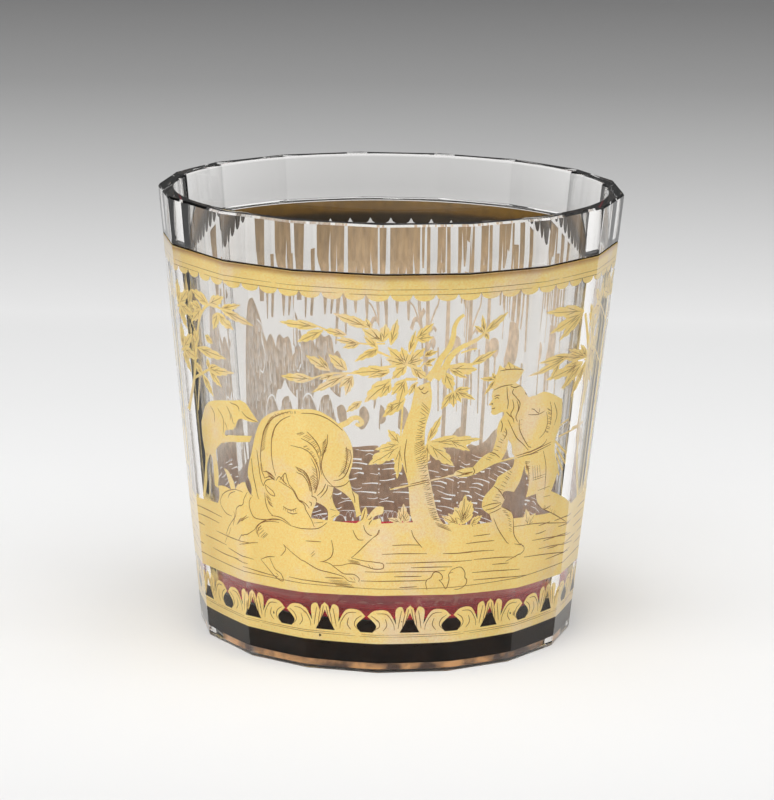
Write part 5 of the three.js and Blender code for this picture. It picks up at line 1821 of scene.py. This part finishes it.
# Moves of the scrolls that cut a fine margin round them where the ground reaches them at the back
SCROLL_MARGINS = [(-0.12, 0), (0.12, 0), (0, 0.14)]


def frieze_art():
    """Every shape of the frieze and the lines engraved on it."""
    motifs = [
        # Front: the boar at bay under the old tree, and the huntsman with a spear
        big_tree(),
        front_bushes(),
        boar(),
        hounds(),
        huntsman(),
        # Left of the boar: a waiting horse, trees and a stag
        left_tree(),
        horse(),
        slim_tree(-50, 1.05, False),
        stag(-60.5, 0.9),
        # Right of the huntsman: trees, a hound and a bush
        right_tree(),
        slim_tree(51, 1.08, True),
        coursing_hound(75),
        side_bush(84, 4.6),
        # Back
        canopy(),
        hills(),
    ]
    shapes = [shape for more, _ in motifs for shape in more]
    lines = [line for _, more in motifs for line in more]
    return shapes, lines


def station(j):
    """The place along the arc of a station, three of them to a facet."""
    facet, part = divmod(j, FACET_STATIONS)
    start, end = edge_azimuth(facet), edge_azimuth(facet + 1)
    return ARC_RADIUS * (start + (end - start) * part / FACET_STATIONS)


def ground_top(u):
    azimuth = u / ARC_RADIUS
    swell = GROUND_TOP + 0.9 * math.cos(azimuth)
    return swell + 0.5 * math.sin(3 * azimuth + 2) + 0.25 * math.sin(11 * azimuth)


def ground_bottom(u):
    """The ground reaches lower at the back than at the front."""
    azimuth = u / ARC_RADIUS
    return GROUND_BOTTOM - BACK_DROP + BACK_DROP * math.cos(azimuth) + 0.15 * math.sin(5 * azimuth + 1)


def near_sheet(shapes, start, end):
    """The shapes that reach a sheet, moved a whole turn where that brings them there."""
    near = []
    for points in shapes:
        for turn in (-1, 0, 1):
            moved = placed([points], turn * ARC_LENGTH, 0)[0]
            if max(u for u, _ in moved) > start and min(u for u, _ in moved) < end:
                near.append(moved)
    return near


def make_frieze_sheet(side, first, last, shapes, slits):
    start = station(first)
    end = station(last) - SHEET_GAP
    ground = band(ground_bottom, ground_top, start - OVERLAP, end + OVERLAP)
    outlines = [ground, *near_sheet(shapes, start, end)]
    holes = near_sheet(slits, start, end)
    window = [(start, FRIEZE_BOTTOM), (end, FRIEZE_BOTTOM), (end, FRIEZE_TOP), (start, FRIEZE_TOP)]
    add_leaf(f"leaf_frieze_{side}", f"gold_frieze_{side}", outlines, holes, window)


def make_frieze():
    shapes, lines = frieze_art()
    scrolls = round_the_foot([half_scroll()])
    margins = [moved for u, z in SCROLL_MARGINS for moved in placed(scrolls, u, z)]
    slits = hill_slits() + ground_slits() + margins
    for side, (first, last) in FRIEZE_SHEETS.items():
        make_frieze_sheet(side, first, last, shapes, slits)
    ground = [band(ground_bottom, ground_top, -BACK, BACK)]
    add_engraving("engraving_frieze", on_shapes(lines, shapes + ground))
    curves = [subdivided_line(through(line, STROKE_STEPS), LONG_LINE_STEP) for line in ground_strokes()]
    add_engraving("engraving_ground", [(curve, LINE_WIDTH) for curve in curves])


# Rosette under the floor

ROSETTE_BOTTOM = CUP_UNDERSIDE + 2 * LEAF_BITE - LEAF_THICKNESS
ROSETTE_RADIUS = 13
ROSETTE_PETALS = 8


def rosette_point(x, y, depth):
    """A point on the rosette in place under the floor, which is seen from below."""
    return Vector((x, -y, ROSETTE_BOTTOM + LEAF_THICKNESS - depth)) * MM


def make_rosette():
    """A round leaf with a wavy edge and a hole like a drop in each petal."""
    petal = math.tau / ROSETTE_PETALS
    steps = 96
    wave = 0.08
    edge = []
    for i in range(steps):
        angle = i * math.tau / steps
        radius = ROSETTE_RADIUS * (1 - wave + wave * abs(math.sin(angle * ROSETTE_PETALS / 2)))
        edge.append(turned((0, 0), angle, radius))
    drop = through([(0.26, 0), (0.5, 0.08), (0.7, 0.12), (0.8, 0)])
    drop += through([(0.8, 0), (0.7, -0.12), (0.5, -0.08), (0.26, 0)])[1:-1]
    holes = []
    for i in range(ROSETTE_PETALS):
        holes.append([turned((0, 0), i * petal, ROSETTE_RADIUS * s, ROSETTE_RADIUS * t) for s, t in drop])
    add_leaf("leaf_rosette", "gold_medallion", [edge], holes, place_at=rosette_point)


make_upper_border()
make_lower_border()
make_frieze()
make_rosette()


# Floor and backdrop

SWEEP_FLAT = 260
SWEEP_RADIUS = 240
SWEEP_TOP = 900
SWEEP_FRONT = -900
SWEEP_HALF_WIDTH = 900
SWEEP_STEPS = 24
SHADING_START = -0.2
SHADING_END = 0.8


def paper_material():
    """White paper with painted shade that darkens it towards its top. Seen from its back it is clear, so that
    it never hides the beaker."""
    material, tree, shader = new_material("sweep_paper")
    axes = object_axes(tree)
    along = tree.nodes.new("ShaderNodeMath")
    along.operation = "ADD"
    tree.links.new(axes["Y"], along.inputs[0])
    tree.links.new(axes["Z"], along.inputs[1])
    # Greys along the paper from its front to its top, where the darkening towards the top is painted shade
    paper_greys_with_painted_shade = [
        (0.0, 0.74), (0.1, 0.80), (0.18, 0.925), (0.304, 0.92), (0.384, 0.885), (0.48, 0.86), (0.544, 0.65),
        (0.6, 0.448), (0.648, 0.28), (0.696, 0.17), (0.84, 0.09),
    ]
    stops = [(share, (grey, grey, grey)) for share, grey in paper_greys_with_painted_shade]
    colour = scaled_ramp(tree, along.outputs["Value"], SHADING_START, SHADING_END, stops)
    tree.links.new(colour, shader.inputs["Base Color"])
    shader.inputs["Roughness"].default_value = 1.0
    shader.inputs["Specular IOR Level"].default_value = 0.0
    side = tree.nodes.new("ShaderNodeNewGeometry")
    clear_where(tree, shader, side.outputs["Backfacing"])
    return material


def make_sweep():
    """Paper that lies level under the beaker and curves up behind it. Points of the level part near
    the beaker keep the curve's soft shading away from it."""
    near_beaker = (-200, 0)
    profile = [(y, 0) for y in (SWEEP_FRONT, *near_beaker, SWEEP_FLAT)]
    for step in range(1, SWEEP_STEPS + 1):
        angle = math.pi / 2 * step / SWEEP_STEPS
        profile.append((SWEEP_FLAT + SWEEP_RADIUS * math.sin(angle), SWEEP_RADIUS * (1 - math.cos(angle))))
    profile.append((SWEEP_FLAT + SWEEP_RADIUS, SWEEP_TOP))
    mesh = bmesh.new()
    rows = []
    for x in (-SWEEP_HALF_WIDTH, SWEEP_HALF_WIDTH):
        rows.append([mesh.verts.new(Vector((x, y, z)) * MM) for y, z in profile])
    left, right = rows
    for j in range(len(profile) - 1):
        face = mesh.faces.new((left[j], right[j], right[j + 1], left[j + 1]))
        face.smooth = True
    data = mesh_data("sweep", mesh)
    data.materials.append(paper_material())
    sweep = add_object("sweep", data)


make_sweep()

# Light

world = bpy.data.worlds.new("studio")
bpy.context.scene.world = world
world.use_nodes = True
background = world.node_tree.nodes["Background"]
background.inputs["Color"].default_value = (1, 1, 1, 1)
background.inputs["Strength"].default_value = 1.0


def add_softbox(name, place, size, power):
    """A square lamp aimed at the middle of the beaker. Its place and size are in metres."""
    data = bpy.data.lights.new(name, "AREA")
    data.shape = "RECTANGLE"
    data.size = data.size_y = size
    data.energy = power
    lamp = add_object(name, data)
    lamp.location = place
    aim = Vector((0, 0, HEIGHT * MM / 2)) - lamp.location
    lamp.rotation_euler = aim.to_track_quat("-Z", "Y").to_euler()


add_softbox("softbox_front", (-0.5, -0.9, 0.9), 0.9, 6.2)
add_softbox("softbox_side", (0.9, -0.2, 0.8), 0.7, 2.0)

# Camera

VIEW_DISTANCE = 620
VIEW_ELEVATION = math.radians(12.7234)
VIEW_ROLL = math.radians(0.803)
# The picture's size, its optical centre and the focal length, in pixels
PICTURE_WIDTH = 774
PICTURE_HEIGHT = 800
VIEW_CENTRE = (388.19, 405.83)
FOCAL_LENGTH = 3441.6


def add_camera():
    data = bpy.data.cameras.new("camera")
    data.sensor_fit = "VERTICAL"
    data.sensor_height = 36
    data.lens = FOCAL_LENGTH * data.sensor_height / PICTURE_HEIGHT
    data.shift_x = (PICTURE_WIDTH / 2 - VIEW_CENTRE[0]) / PICTURE_HEIGHT
    data.shift_y = (VIEW_CENTRE[1] - PICTURE_HEIGHT / 2) / PICTURE_HEIGHT
    data.clip_start = 0.01
    data.clip_end = 20
    camera = add_object("camera", data)
    place = Vector((
        0,
        -VIEW_DISTANCE * math.cos(VIEW_ELEVATION),
        HEIGHT / 2 + VIEW_DISTANCE * math.sin(VIEW_ELEVATION),
    )) * MM
    turn = Matrix.Rotation(math.pi / 2 - VIEW_ELEVATION, 4, "X") @ Matrix.Rotation(VIEW_ROLL, 4, "Z")
    camera.matrix_world = Matrix.Translation(place) @ turn
    bpy.context.scene.camera = camera


add_camera()
bpy.context.scene.view_settings.view_transform = "Standard"
